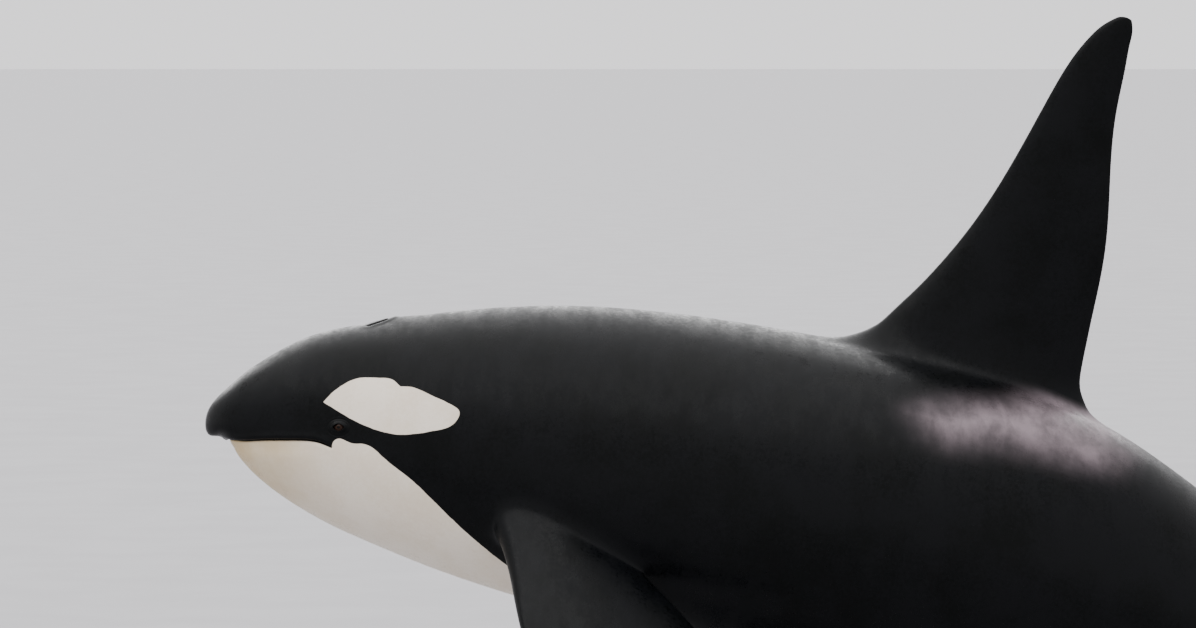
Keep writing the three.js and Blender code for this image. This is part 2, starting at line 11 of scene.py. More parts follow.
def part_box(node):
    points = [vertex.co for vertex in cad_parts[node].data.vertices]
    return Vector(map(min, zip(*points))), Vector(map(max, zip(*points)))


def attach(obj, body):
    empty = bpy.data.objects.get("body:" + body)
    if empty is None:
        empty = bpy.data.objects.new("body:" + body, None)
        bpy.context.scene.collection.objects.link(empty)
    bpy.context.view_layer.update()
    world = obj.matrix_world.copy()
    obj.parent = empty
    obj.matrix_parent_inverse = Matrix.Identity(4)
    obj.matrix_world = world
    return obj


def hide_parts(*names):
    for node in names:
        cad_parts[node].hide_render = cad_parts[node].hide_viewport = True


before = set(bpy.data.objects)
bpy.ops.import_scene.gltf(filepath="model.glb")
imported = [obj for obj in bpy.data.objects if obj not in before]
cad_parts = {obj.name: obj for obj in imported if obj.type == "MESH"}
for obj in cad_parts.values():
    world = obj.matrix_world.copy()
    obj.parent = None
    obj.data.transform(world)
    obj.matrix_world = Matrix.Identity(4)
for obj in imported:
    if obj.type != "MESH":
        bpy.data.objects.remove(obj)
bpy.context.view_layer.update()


def deselectAll():
    if bpy.context.mode != "OBJECT":
        bpy.ops.object.mode_set(mode="OBJECT")
    bpy.ops.object.select_all(action="DESELECT")
    bpy.context.view_layer.objects.active = None


def makeActive(piece):
    deselectAll()
    piece.select_set(True)
    bpy.context.view_layer.objects.active = piece


# Opens a piece in edit mode with nothing of it selected
def edit(piece):
    makeActive(piece)
    bpy.ops.object.mode_set(mode="EDIT")
    bpy.ops.mesh.select_all(action="DESELECT")


# Names a new object, moves its place into its mesh and opens it in edit mode
def newPiece(name):
    piece = bpy.context.object
    piece.name = piece.data.name = name
    bpy.ops.object.transform_apply(location=True, rotation=True, scale=True)
    bpy.ops.object.mode_set(mode="EDIT")
    return piece


# Selects the faces or edges that a test accepts, in edit mode
def choose(kind, test):
    bpy.ops.mesh.select_mode(type=kind)
    bpy.ops.mesh.select_all(action="DESELECT")
    cage = bmesh.from_edit_mesh(bpy.context.object.data)
    for part in cage.faces if kind == "FACE" else cage.edges:
        part.select_set(bool(test(part)))
    cage.select_flush_mode()
    bmesh.update_edit_mesh(bpy.context.object.data)


def extrude(x, y, z):
    bpy.ops.mesh.extrude_region_move(TRANSFORM_OT_translate={"value": (x, y, z)})


# A copy with its own mesh, moved, turned or mirrored by its object's settings
def copyOf(piece, name, **placing):
    makeActive(piece)
    bpy.ops.object.duplicate()
    for key, value in placing.items():
        setattr(bpy.context.object, key, value)
    newPiece(name)
    bpy.ops.object.mode_set(mode="OBJECT")
    return bpy.context.object


def turnFacesOut(piece):
    edit(piece)
    bpy.ops.mesh.select_all(action="SELECT")
    bpy.ops.mesh.normals_make_consistent(inside=False)
    bpy.ops.object.mode_set(mode="OBJECT")


# Smooths a piece, but for edges sharper than the angle, and hides the parts it stands for
def finishPiece(piece, slot, angle, *nodes):
    makeActive(piece)
    bpy.ops.object.shade_smooth()
    if angle < 180:
        bpy.ops.object.shade_smooth_by_angle(angle=math.radians(angle))
    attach(piece, "root")
    if nodes:
        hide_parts(*nodes)
    return piece


def coordinates(mesh):
    points = np.empty(len(mesh.vertices) * 3)
    mesh.vertices.foreach_get("co", points)
    return points.reshape(-1, 3)


def setCoordinates(mesh, points):
    mesh.vertices.foreach_set("co", np.asarray(points, float).ravel())
    mesh.update()


def readValues(mesh, name):
    layer = mesh.attributes[name]
    values = np.empty(len(mesh.vertices), int if layer.data_type == "INT" else float)
    layer.data.foreach_get("value", values)
    return values


def writeValues(mesh, name, values, kind="FLOAT"):
    layer = mesh.attributes.get(name) or mesh.attributes.new(name, kind, "POINT")
    layer.data.foreach_set("vector" if kind == "FLOAT_VECTOR" else "value", np.ravel(values))


# The animal's measures: places run along the spine from the tip of the snout, heights are over it

spine = {
    "pitch": [  # place, degrees down
        (0, 7), (1.2, 7.5), (2.2, 8.5), (2.9, 13), (3.4, 19.5), (3.9, 26),
        (4.5, 30), (5.2, 32), (6.0, 31.5), (6.6, 28.5), (7.2, 24),
    ],
    "end": 7.2,
    "step": 0.01,
}

body = {
    "length": 7.11,  # snout to the notch between the flukes
    "columns": 36,
    "snoutRings": 19,  # their places are squares: close at the tip, wider apart behind
    "firstRing": 0.0526,  # root of the first one's place
    "ringGap": 0.19,  # at most, behind those
    "drawn": 0.45,  # how far along the body a fin's root still draws the columns
    "end": 0.006,  # of the point that closes the last ring, behind the notch
    "settles": (0.002, 0.012),  # places over which points come to lie on the true curves
    "leaves": (6.95, 7.08),  # places over which they leave them, between the flukes
    "stations": [  # place, back, belly, half width, widest height, power above, power below
        (0, 0, 0, 0, 0, 2.1, 2.2),
        (0.030, 0.086, -0.060, 0.078, 0.002, 2.1, 2.3),
        (0.101, 0.171, -0.073, 0.152, 0.006, 2.1, 2.4),
        (0.138, 0.211, -0.112, 0.178, 0.004, 2.1, 2.3),
        (0.202, 0.267, -0.173, 0.218, 0.002, 2.1, 2.2),
        (0.300, 0.341, -0.240, 0.263, 0.000, 2.1, 2.15),
        (0.415, 0.404, -0.299, 0.303, -0.005, 2.1, 2.1),
        (0.540, 0.448, -0.350, 0.338, -0.012, 2.05, 2.1),
        (0.730, 0.504, -0.408, 0.392, -0.025, 2, 2.1),
        (1.000, 0.573, -0.478, 0.456, -0.042, 2, 2.1),
        (1.450, 0.646, -0.560, 0.542, -0.068, 2, 2.15),
        (2.100, 0.664, -0.650, 0.612, -0.080, 2, 2.15),
        (2.800, 0.642, -0.713, 0.634, -0.082, 2, 2.1),
        (3.430, 0.588, -0.716, 0.604, -0.068, 1.95, 2.05),
        (3.900, 0.482, -0.664, 0.540, -0.052, 1.9, 2),
        (4.500, 0.372, -0.532, 0.420, -0.034, 1.8, 1.9),
        (5.200, 0.285, -0.388, 0.285, -0.020, 1.65, 1.75),
        (5.800, 0.228, -0.286, 0.190, -0.010, 1.55, 1.6),
        (6.300, 0.172, -0.204, 0.125, -0.004, 1.5, 1.55),
        (6.700, 0.106, -0.118, 0.098, 0, 1.7, 1.7),
        (7.000, 0.050, -0.054, 0.078, 0, 2, 2),
        (7.110, 0.022, -0.024, 0.066, 0, 2, 2),
    ],
}

eye = {
    "place": 0.546,
    "height": 0.058,
    "radius": 0.028,
    "depth": 0.022,  # of its centre under the skin
    "patch": 0.012,  # half width of the skin that its axes are taken from
}


# A natural cubic curve through points of two values
def curveThrough(points):
    xs, ys = np.array(points, float).T
    gaps = np.diff(xs)
    system = np.eye(len(xs))
    turns = np.zeros(len(xs))
    for i in range(1, len(xs) - 1):
        system[i, i - 1 : i + 2] = gaps[i - 1], 2 * (gaps[i - 1] + gaps[i]), gaps[i]
        turns[i] = 6 * ((ys[i + 1] - ys[i]) / gaps[i] - (ys[i] - ys[i - 1]) / gaps[i - 1])
    bend = np.linalg.solve(system, turns)

    def curve(x):
        i = np.clip(np.searchsorted(xs, x, side="left") - 1, 0, len(xs) - 2)
        a = (xs[i + 1] - x) / gaps[i]
        b = (x - xs[i]) / gaps[i]
        sag = (a**3 - a) * bend[i] + (b**3 - b) * bend[i + 1]
        return a * ys[i] + b * ys[i + 1] + sag * gaps[i] ** 2 / 6

    return curve


# From 0 at the low value to 1 at the high one
def smooth(x, low, high):
    t = np.clip((x - low) / (high - low), 0, 1)
    return t * t * (3 - 2 * t)


pitchAt = curveThrough(spine["pitch"])
spinePlaces = np.arange(0, spine["end"] + spine["step"] / 2, spine["step"])
middlePitch = np.radians(pitchAt(spinePlaces[:-1] + spine["step"] / 2))
spineX = np.insert(np.cumsum(spine["step"] * np.cos(middlePitch)), 0, 0)
spineZ = -np.insert(np.cumsum(spine["step"] * np.sin(middlePitch)), 0, 0)


def spineAt(place):
    place = np.asarray(place, float)
    pitch = np.radians(pitchAt(np.clip(place, 0, spine["end"])))
    step = np.clip(np.floor(place / spine["step"]).astype(int), 0, len(spineX) - 1)
    over = place - step * spine["step"]
    return spineX[step] + over * np.cos(pitch), spineZ[step] - over * np.sin(pitch), pitch


# Places on the straight animal to points of the arched one, the snout's tip at 0
def onSpine(place, side, height):
    x, z, pitch = spineAt(place)
    parts = x + height * np.sin(pitch), side, z + height * np.cos(pitch)
    return np.stack(np.broadcast_arrays(*parts), -1)


# Points of the arched animal back to place, side and height
def straighten(points):
    place = np.interp(points[:, 0], spineX, spinePlaces)
    bendAt = np.gradient(np.radians(pitchAt(spinePlaces)), spinePlaces)
    for _ in range(8):
        x, z, pitch = spineAt(place)
        dx, dz = points[:, 0] - x, points[:, 2] - z
        height = dx * np.sin(pitch) + dz * np.cos(pitch)
        along = dx * np.cos(pitch) - dz * np.sin(pitch)
        place = place + along / np.maximum(0.3, 1 + height * np.interp(place, spinePlaces, bendAt))
    return np.stack([place, points[:, 1], height], -1)


def bodyCurve(column):
    curve = curveThrough([(math.sqrt(s[0]), s[column]) for s in body["stations"]])
    return lambda place: curve(np.sqrt(np.clip(place, 0, body["length"])))


backAt, bellyAt, halfAt, wideAt, upperPowerAt, lowerPowerAt = (bodyCurve(c) for c in range(1, 7))


# The widest line's height, and the reach and power of the section's curve above or below it
def quarterAt(place, above):
    wide = wideAt(place)
    rise = np.where(above, backAt(place) - wide, wide - bellyAt(place))
    return wide, rise, np.where(above, upperPowerAt(place), lowerPowerAt(place))


# The skin at a turn round the body from the back (0) to the belly (half a turn)
def sectionPoint(place, turn):
    up, across = np.cos(turn), np.sin(turn)
    wide, rise, power = quarterAt(place, up >= 0)
    side = halfAt(place) * np.sign(across) * np.abs(across) ** (2 / power)
    return side, wide + rise * np.sign(up) * np.abs(up) ** (2 / power)


# Shares of the half width and of the reach up or down, in powers that add up to 1 on the skin
def sharesAt(place, side, height):
    wide, rise, power = quarterAt(place, height > wideAt(place))
    across = (np.abs(side) / np.maximum(halfAt(place), 1e-4)) ** power
    return across, (np.abs(height - wide) / np.maximum(rise, 1e-4)) ** power, power


# 1 on the skin, less inside, more outside
def fullness(place, side, height):
    across, up, power = sharesAt(place, side, height)
    return (across + up) ** (1 / power)


# How far the skin is from the middle plane at a height
def skinSide(place, height):
    _, up, power = sharesAt(place, 0, height)
    return halfAt(place) * np.maximum(0, 1 - up) ** (1 / power)


# The right eye's centre, and the ways aft, up and out of it
def eyeAxes():
    def on(place, height):
        return onSpine(place, skinSide(place, height), height)

    place, height, near = eye["place"], eye["height"], eye["patch"]
    aft = on(place + near, height) - on(place - near, height)
    out = np.cross(aft, on(place, height + near) - on(place, height - near))
    out *= np.sign(out[1])
    up = np.cross(out, aft)
    axes = np.array([aft, up * np.sign(up[2]), out])
    axes /= np.linalg.norm(axes, axis=1, keepdims=True)
    return on(place, height) - eye["depth"] * axes[2], axes


eyeCentre, eyeWays = eyeAxes()

# The arched animal is set in the part's frame by its left eye
snout = np.mean(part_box("eye_left"), axis=0) - eyeCentre
snout[1] = 0
print("snout at", [round(float(v), 4) for v in snout])


# Fins: a row of measures each, worked out from the root to the tip

dorsal = {
    "seat": 3.05,
    "stations": [  # height over the spine, leading edge, trailing edge, thickness
        (0.500, -0.700, 0.430, 0.240),
        (0.600, -0.700, 0.395, 0.232),
        (0.640, -0.668, 0.345, 0.214),
        (0.665, -0.600, 0.328, 0.202),
        (0.740, -0.516, 0.314, 0.172),
        (0.860, -0.440, 0.307, 0.148),
        (1.000, -0.359, 0.299, 0.130),
        (1.200, -0.265, 0.290, 0.112),
        (1.500, -0.168, 0.231, 0.092),
        (1.800, -0.093, 0.178, 0.070),
        (2.000, -0.028, 0.168, 0.052),
        (2.100, 0.029, 0.163, 0.038),
        (2.145, 0.074, 0.155, 0.026),
        (2.160, 0.102, 0.134, 0.016),
    ],
    "middle": 0,  # column of the body at its root's middle
    "spread": 1,  # columns on each side of that
    "rows": 10,  # of the body's faces along its root
    "rings": 15,  # from the root to the tip
    "flare": 0.022,  # how far the root spreads across the body
    "tries": (0.50, 1.0),  # heights between which it leaves the body
    "crowding": 0.09,  # of the rings towards the root and the tip
    "bow": 0.008,  # how far the last ring bulges between its ends, to round the tip
}

flipper = {
    "place": 1.475,
    "height": -0.285,
    "lie": (0.46, 0.66, -0.60),  # the way it points: aft, out, up
    "face": (0.10, 0.62, 0.78),  # the way its upper side looks
    "curl": 0.090,  # of the tip towards the belly
    "stations": [
        (-0.330, -0.214, 0.205, 0.204),
        (-0.130, -0.228, 0.216, 0.200),
        (0.000, -0.240, 0.225, 0.190),
        (0.300, -0.318, 0.310, 0.150),
        (0.600, -0.372, 0.400, 0.118),
        (0.900, -0.372, 0.440, 0.090),
        (1.200, -0.296, 0.410, 0.062),
        (1.400, -0.178, 0.326, 0.042),
        (1.515, -0.050, 0.216, 0.028),
        (1.560, 0.050, 0.120, 0.016),
    ],
    "middle": 11,
    "spread": 1,
    "rows": 7,
    "rings": 11,
    "flare": 0.022,
    "tries": (-0.33, 0.45),
    "crowding": 0.135,
    "bow": 0.020,
}

fluke = {
    "droop": 0.095,
    "stations": [
        (0.055, 6.280, 7.160, 0.132),
        (0.150, 6.395, 7.205, 0.118),
        (0.300, 6.560, 7.215, 0.094),
        (0.500, 6.735, 7.205, 0.070),
        (0.700, 6.890, 7.212, 0.052),
        (0.900, 7.040, 7.238, 0.036),
        (1.010, 7.132, 7.256, 0.026),
        (1.065, 7.192, 7.268, 0.019),
        (1.085, 7.228, 7.272, 0.013),
    ],
    "middle": 9,
    "spread": 2,
    "rows": 7,
    "rings": 11,
    "flare": 0.010,
    "tries": (0.055, 0.22),
    "crowding": 0.12,
    "bow": 0.010,
}

for sizes in (dorsal, flipper, fluke):
    sizes["curves"] = [curveThrough([(s[0], s[c]) for s in sizes["stations"]]) for c in (1, 2, 3)]
    sizes["tip"] = sizes["stations"][-1][0]
    sizes["steps"] = sizes["rows"] + 2 * sizes["spread"]  # from the leading to the trailing edge


# How far aft a point of a fin lies, and how far from the fin's middle plane
def acrossFin(sizes, out, share, face):
    lead, trail, thick = sizes["curves"]
    chord = lead(out) + (trail(out) - lead(out)) * share
    section = share**0.5 * (1 - share) ** 0.7 / 0.4426 / 2  # fullest at two fifths of the chord
    return chord, thick(out) * section * face


def dorsalPoint(up, share, face, side):
    chord, half = acrossFin(dorsal, up, share, face)
    x, z, pitch = spineAt(dorsal["seat"])
    cos, sin = np.cos(pitch), np.sin(pitch)
    return np.stack([x + chord * cos + up * sin, half, z - chord * sin + up * cos], -1)


def flipperPoint(out, share, face, side):
    chord, half = acrossFin(flipper, out, share, face)
    place, height = flipper["place"], flipper["height"]
    pitch = spineAt(place)[2]
    ways = np.array([
        [np.cos(pitch), 0, -np.sin(pitch)], [0, side, 0], [np.sin(pitch), 0, np.cos(pitch)],
    ])
    along, normal = (np.array(flipper[name]) @ ways for name in ("lie", "face"))
    along /= np.linalg.norm(along)
    normal -= normal.dot(along) * along
    normal /= np.linalg.norm(normal)
    across = np.cross(normal, along)
    across *= np.sign(across.dot(ways[0]))
    seat = onSpine(place, side * skinSide(place, height), height)
    curl = flipper["curl"] * np.maximum(0, out / flipper["tip"]) ** 2
    return seat + np.stack([out, chord, half - curl], -1) @ np.array([along, across, normal])


def flukePoint(out, share, face, side):
    place, half = acrossFin(fluke, out, share, face)
    return onSpine(place, side * out, half - fluke["droop"] * (out / fluke["tip"]) ** 3)


fins = [{"sizes": dorsal, "point": dorsalPoint, "side": 0}]
for side in (1, -1):
    fins.append({"sizes": flipper, "point": flipperPoint, "side": side})
    fins.append({"sizes": fluke, "point": flukePoint, "side": side})


def pointsOf(fin, out, share, face):
    parts = np.broadcast_arrays(np.atleast_1d(out) * 1.0, share, face)
    return fin["point"](*parts, fin["side"])


# How far a step across the chord is from the leading edge, in shares of the chord
def shareAt(sizes, step):
    return (1 - np.cos(np.pi * step / sizes["steps"])) / 2


# For each step across the chord and each face, how far out the fin leaves the body, and the place,
# side and height of its root there
def findRoot(fin):
    sizes = fin["sizes"]
    outs = np.linspace(*sizes["tries"], 400)
    sizes["roots"] = np.zeros((sizes["steps"] + 1, 2))
    sizes["outline"] = np.zeros((sizes["steps"] + 1, 2, 3))
    for step in range(sizes["steps"] + 1):
        for face in (0, 1):
            spots = straighten(pointsOf(fin, outs, shareAt(sizes, step), 2 * face - 1))
            inside = np.nonzero((fullness(*spots.T) < 1) & (spots[:, 0] < body["length"]))[0]
            last = inside[-1] if len(inside) else 0
            sizes["roots"][step, face] = outs[last]
            sizes["outline"][step, face] = spots[last]
    spread = sizes["spread"]
    rows = sizes["outline"][spread : spread + sizes["rows"] + 1, :, 0]
    sizes["rowPlaces"] = rows.mean(1).tolist()


# Places of the body's rings: close at the snout, then even, with each fin's own rows
rowPlaces = [(body["firstRing"] * k) ** 2 for k in range(1, body["snoutRings"] + 1)]
for number in (1, 0, 2):
    sizes = fins[number]["sizes"]
    findRoot(fins[number])
    start, first = rowPlaces[-1], sizes["rowPlaces"][0]
    count = max(1, round((first - start) / body["ringGap"]))
    rowPlaces += [start + (first - start) * k / count for k in range(1, count)]
    sizes["firstRow"] = len(rowPlaces)
    rowPlaces += sizes["rowPlaces"]


# Sides, heights and arc lengths round the half section
def halfArc(place):
    side, height = sectionPoint(np.full(241, place), np.linspace(0, np.pi, 241))
    return side, height, np.insert(np.cumsum(np.hypot(np.diff(side), np.diff(height))), 0, 0)


# The skin's cage: a straight tube of rings, with the fins drawn out of it ring by ring. Each point
# knows its ring and its column, counted from the back towards +Y
def straightTube(rings, columns):
    deselectAll()
    bpy.ops.mesh.primitive_circle_add(
        vertices=columns, radius=1, fill_type="TRIFAN", rotation=(0, math.pi / 2, 0)
    )
    tube = newPiece("skin")
    for _ in range(rings - 1):
        extrude(1, 0, 0)
    bpy.ops.object.mode_set(mode="OBJECT")
    x, y, z = coordinates(tube.data).T
    column = np.round(np.arctan2(y, z) % math.tau / math.tau * columns).astype(int) % columns
    column[np.hypot(y, z) < 0.1] = -1
    writeValues(tube.data, "ring", np.round(x).astype(int), "INT")
    writeValues(tube.data, "column", column, "INT")
    for name in ("fin", "level"):
        writeValues(tube.data, name, np.zeros(len(x), int), "INT")
    return tube


# The body's columns across a fin's root, from its lower or left face to the other
def finColumns(fin):
    middle, spread = fin["sizes"]["middle"], fin["sizes"]["spread"]
    order = range(-middle - spread, -middle + spread + 1)
    if fin["side"] > 0:
        order = range(middle + spread, middle - spread - 1, -1)
    return [k % body["columns"] for k in order]


# Selects the fin's root among the body's faces and extrudes it, one ring after another
def growFin(tube, fin, number):
    edit(tube)
    cage = bmesh.from_edit_mesh(tube.data)
    ring, column, kind = (cage.verts.layers.int[name] for name in ("ring", "column", "fin"))
    first, last = fin["sizes"]["firstRow"], fin["sizes"]["firstRow"] + fin["sizes"]["rows"]
    columns = finColumns(fin)
    for face in cage.faces:
        face.select_set(all(
            first <= v[ring] <= last and v[column] in columns and v[kind] == 0 for v in face.verts
        ))
    bmesh.update_edit_mesh(tube.data)
    for level in range(1, fin["sizes"]["rings"] + 1):  # placeCage gives each ring its true place
        extrude(0, fin["side"], 0 if fin["side"] else 1)
        cage = bmesh.from_edit_mesh(tube.data)
        kind, levels = cage.verts.layers.int["fin"], cage.verts.layers.int["level"]
        for v in cage.verts:
            if v.select:
                v[kind], v[levels] = number, level
    bpy.ops.object.mode_set(mode="OBJECT")


# How far round the half section each column lies, for each ring of the body
def columnShares():
    half = body["columns"] // 2
    even = np.arange(half + 1) / half
    shares = np.tile(even, (len(rowPlaces), 1))
    for fin in fins[:3]:
        sizes = fin["sizes"]
        middle, spread = sizes["middle"], sizes["spread"]
        columns = [middle - spread, middle + spread] if fin["side"] else [spread]
        edges = []  # of the fin's root, in its rows
        for place, pair in zip(sizes["rowPlaces"], sizes["outline"][spread:]):
            sides, heights, arc = halfArc(place)
            away = [(sides - abs(side)) ** 2 + (heights - height) ** 2 for _, side, height in pair]
            low, high = (arc[np.argmin(gap)] for gap in away)
            reach = np.array([high - sizes["flare"], low + sizes["flare"]]) / arc[-1]
            edges.append(reach[-len(columns) :])
        for row, place in enumerate(rowPlaces):
            nearest = min(max(row - sizes["firstRow"], 0), len(edges) - 1)
            weight = 1 - smooth(abs(place - sizes["rowPlaces"][nearest]), 0, body["drawn"])
            if weight > 0:
                values = (1 - weight) * even[columns] + weight * edges[nearest]
                shares[row] = np.interp(np.arange(half + 1), [0, *columns, half], [0, *values, 1])
    return shares


# Sets every point of the cage, and notes what the markings need to know of those on the fins
def placeCage(tube):
    mesh = tube.data
    ring, column, kind, level = (readValues(mesh, n) for n in ("ring", "column", "fin", "level"))
    points = np.zeros((len(ring), 3))
    shares = columnShares()
    left = column > body["columns"] // 2
    folded = np.where(left, body["columns"] - column, column)
    for row, place in enumerate(rowPlaces):
        here = (ring == row) & (kind == 0) & (column >= 0)
        sides, heights, arc = halfArc(place)
        along = shares[row][folded[here]] * arc[-1]
        side = np.interp(along, arc, sides) * np.where(left[here], -1, 1)
        points[here] = onSpine(place, side, np.interp(along, arc, heights))
    ends = np.where(ring[column < 0] == 0, 0, body["length"] + body["end"])
    points[column < 0] = onSpine(ends, 0, 0)
    marks = {name: np.zeros(len(ring)) for name in ("finSide", "finEdge", "finTip", "rooted")}
    for number, fin in enumerate(fins, 1):
        sizes = fin["sizes"]
        spread, tip, roots = sizes["spread"], sizes["tip"], sizes["roots"]
        lead, trail, _ = sizes["curves"]
        axis = np.diff(pointsOf(fin, [tip - 0.01, tip], 0.5, 0), axis=0)[0]
        axis /= np.linalg.norm(axis)
        columns = finColumns(fin)
        row = ring - sizes["firstRow"]
        atRoot = (kind == 0) & (row >= 0) & (row <= sizes["rows"]) & np.isin(column, columns)
        here = np.nonzero((kind == number) | atRoot)[0]
        across = np.array([columns.index(k) for k in column[here]]) - spread
        row = row[here]
        first, last = row == 0, row == sizes["rows"]
        step = np.where(last, sizes["steps"] - abs(across), spread + row)
        step = np.where(first, abs(across), step)
        face = np.where(first | last, np.sign(across), across / spread)
        share = shareAt(sizes, step)
        out = np.where(across == 0, roots[step].mean(1), roots[step, (across > 0).astype(int)])
        reach = level[here] / sizes["rings"]
        bow = sizes["bow"] * reach**6
        out += (tip - out) * (reach - sizes["crowding"] * np.sin(math.tau * reach)) - bow
        bow *= 1 - (2 * share - 1) ** 2
        drawn = pointsOf(fin, out, share, face) + axis * bow[:, None]
        grown = kind[here] > 0
        points[here[grown]] = drawn[grown]
        marks["rooted"][here] = 1
        marks["finSide"][here] = face
        marks["finTip"][here] = tip - out
        marks["finEdge"][here] = np.minimum(share, 1 - share) * (trail(out) - lead(out))
    setCoordinates(mesh, points + snout)
    for name, numbers in (("dorsal", [1]), ("flipper", [2, 4]), ("fluke", [3, 5])):
        marks[name] = np.isin(kind, numbers)
    for name, values in marks.items():
        writeValues(mesh, name, values.astype(float))


skin = straightTube(len(rowPlaces), body["columns"])
for number, fin in enumerate(fins, 1):
    growFin(skin, fin, number)
placeCage(skin)
turnFacesOut(skin)
print("cage", len(skin.data.vertices), "points", len(skin.data.polygons), "faces")
rounding = skin.modifiers.new("rounding", "SUBSURF")
rounding.levels = rounding.render_levels = 2
bpy.ops.object.modifier_apply(modifier="rounding")
bpy.ops.object.shade_smooth()
print("rounded", len(skin.data.vertices), "points")


# Fine forms of the head: each is a small rise or hollow of the smooth skin

mouth = {
    "line": [  # place, height, from the chin to the corner
        (0.100, -0.064), (0.158, -0.057), (0.238, -0.039), (0.318, -0.025),
        (0.398, -0.013), (0.470, -0.011), (0.508, -0.019), (0.528, -0.024),
    ],
    "chin": 0.101,
    "corner": 0.528,
    "end": 0.6,  # of all that belongs to it
    "step": 0.009,  # the lower lip lies inside the upper one
    "stepFades": (-0.15, 0.01),  # on its way to the corner
    "stepEdge": 0.0015,  # half of the height over which it goes in
    "cheek": 0.075,  # height over which it comes out again
    "groove": (0.010, 0.0045, 0.003, 0.017, 0.011),  # as the function groove takes them
    "grooveFades": (-0.045, 0.006),
    "grooveLost": 0.75,  # of it, at the corner
}

lids = {
    "mound": (0.050, 0.035, 0.034),  # half length, half height, reach from the eye's centre
    "blend": 0.012,
    "reach": 0.05,  # from the opening, over which the mound ends
    "opening": (0.023, 0.0135),  # half length, half height
    "tilt": -8,
    "rim": 0.0035,  # how far the opening's edge stands over the eyeball
    "rimFades": (0.002, 0.009),  # distances from the opening
    "inside": 0.006,  # how far the skin in the opening lies behind the eyeball's face
    "opens": (-0.0016, 0.0014),  # distances from the opening's edge
    "field": 0.14,  # from the eye's centre, past which nothing changes
    "fold": (0.036, 0.026),  # half length and half height of the inmost fold
    "folds": [(1.0, 0.0016), (1.32, 0.00112), (1.7, 0.00064)],  # size against that one, depth
    "foldWidth": 0.085,
}

blowhole = {
    "place": 0.688,
    "horn": 0.084,  # the ends of the crescent lie this far ahead of its middle
    "halfWidth": 0.068,
    "groove": (0.022, 0.0065, 0.006, 0.019, 0.013),
    "ends": 0.35,  # of the groove that is left at its ends
    "mound": (0.730, 0.100, 0.118, 0.006),  # place, half length, half width, rise
}

slits = [  # along the middle of the belly: first place, last place, depth, half width
    (2.86, 2.92, 0.007, 0.010),
    (4.34, 4.62, 0.012, 0.006),
    (4.86, 4.93, 0.010, 0.007),
]

mouthAt = curveThrough(mouth["line"])


def alongMouth(place):
    return mouthAt(np.clip(place, mouth["chin"], mouth["corner"]))


# From the corner of the mouth to the middle of the chin, on the right side
def mouthPath():
    places = np.linspace(mouth["corner"], mouth["chin"], 90)
    sides = skinSide(places, alongMouth(places))
    across = np.linspace(sides[-1], 0, 24)[1:]
    ringSide, ringHeight = sectionPoint(np.full(400, mouth["chin"]), np.linspace(np.pi / 2, np.pi, 400))
    front = np.interp(across, ringSide[::-1], ringHeight[::-1])
    return np.concatenate([
        np.stack([places, sides, alongMouth(places)], -1),
        np.stack([np.full(len(across), mouth["chin"]), across, front], -1),
    ])


def blowholePath():
    share = np.linspace(-1, 1, 41)
    places = blowhole["place"] - blowhole["horn"] * share**2
    sides = blowhole["halfWidth"] * share
    wide = wideAt(places)
    heights = wide + (backAt(places) - wide) * np.sqrt(1 - (sides / halfAt(places)) ** 2)
    return np.stack([places, sides, heights], -1)


lipPath, holePath = mouthPath(), blowholePath()


# The distance of each point to a path, worked out only near it, and the share along it
def distanceTo(path, points, reach):
    if path.shape[1] == 2:
        path, points = (np.pad(flat, ((0, 0), (0, 1))) for flat in (path, points))
    distance = np.full(len(points), reach * 4.0)
    share = np.zeros(len(points))
    near = np.nonzero(((points > path.min(0) - reach) & (points < path.max(0) + reach)).all(1))[0]
    marks = kdtree.KDTree(len(path))
    for i, mark in enumerate(path.tolist()):
        marks.insert(mark, i)
    marks.balance()
    here = points[near]
    nearest = np.array([marks.find(point)[1] for point in here.tolist()], int)
    best = np.full(len(near), np.inf)
    for start in (np.maximum(nearest - 1, 0), np.minimum(nearest, len(path) - 2)):
        way = path[start + 1] - path[start]
        gap = here - path[start]
        along = np.clip((gap * way).sum(1) / np.maximum((way**2).sum(1), 1e-12), 0, 1)
        gaps = np.linalg.norm(gap - along[:, None] * way, axis=1)
        closer = gaps < best
        best[closer] = gaps[closer]
        share[near[closer]] = ((start + along) / (len(path) - 1))[closer]
    distance[near] = best
    return distance, share


def straightPoints(mesh):
    return straighten(coordinates(mesh) - snout)


# Both flanks laid over each other, on the right
def foldOver(points):
    return np.column_stack([points[:, 0], np.abs(points[:, 1]), points[:, 2]])


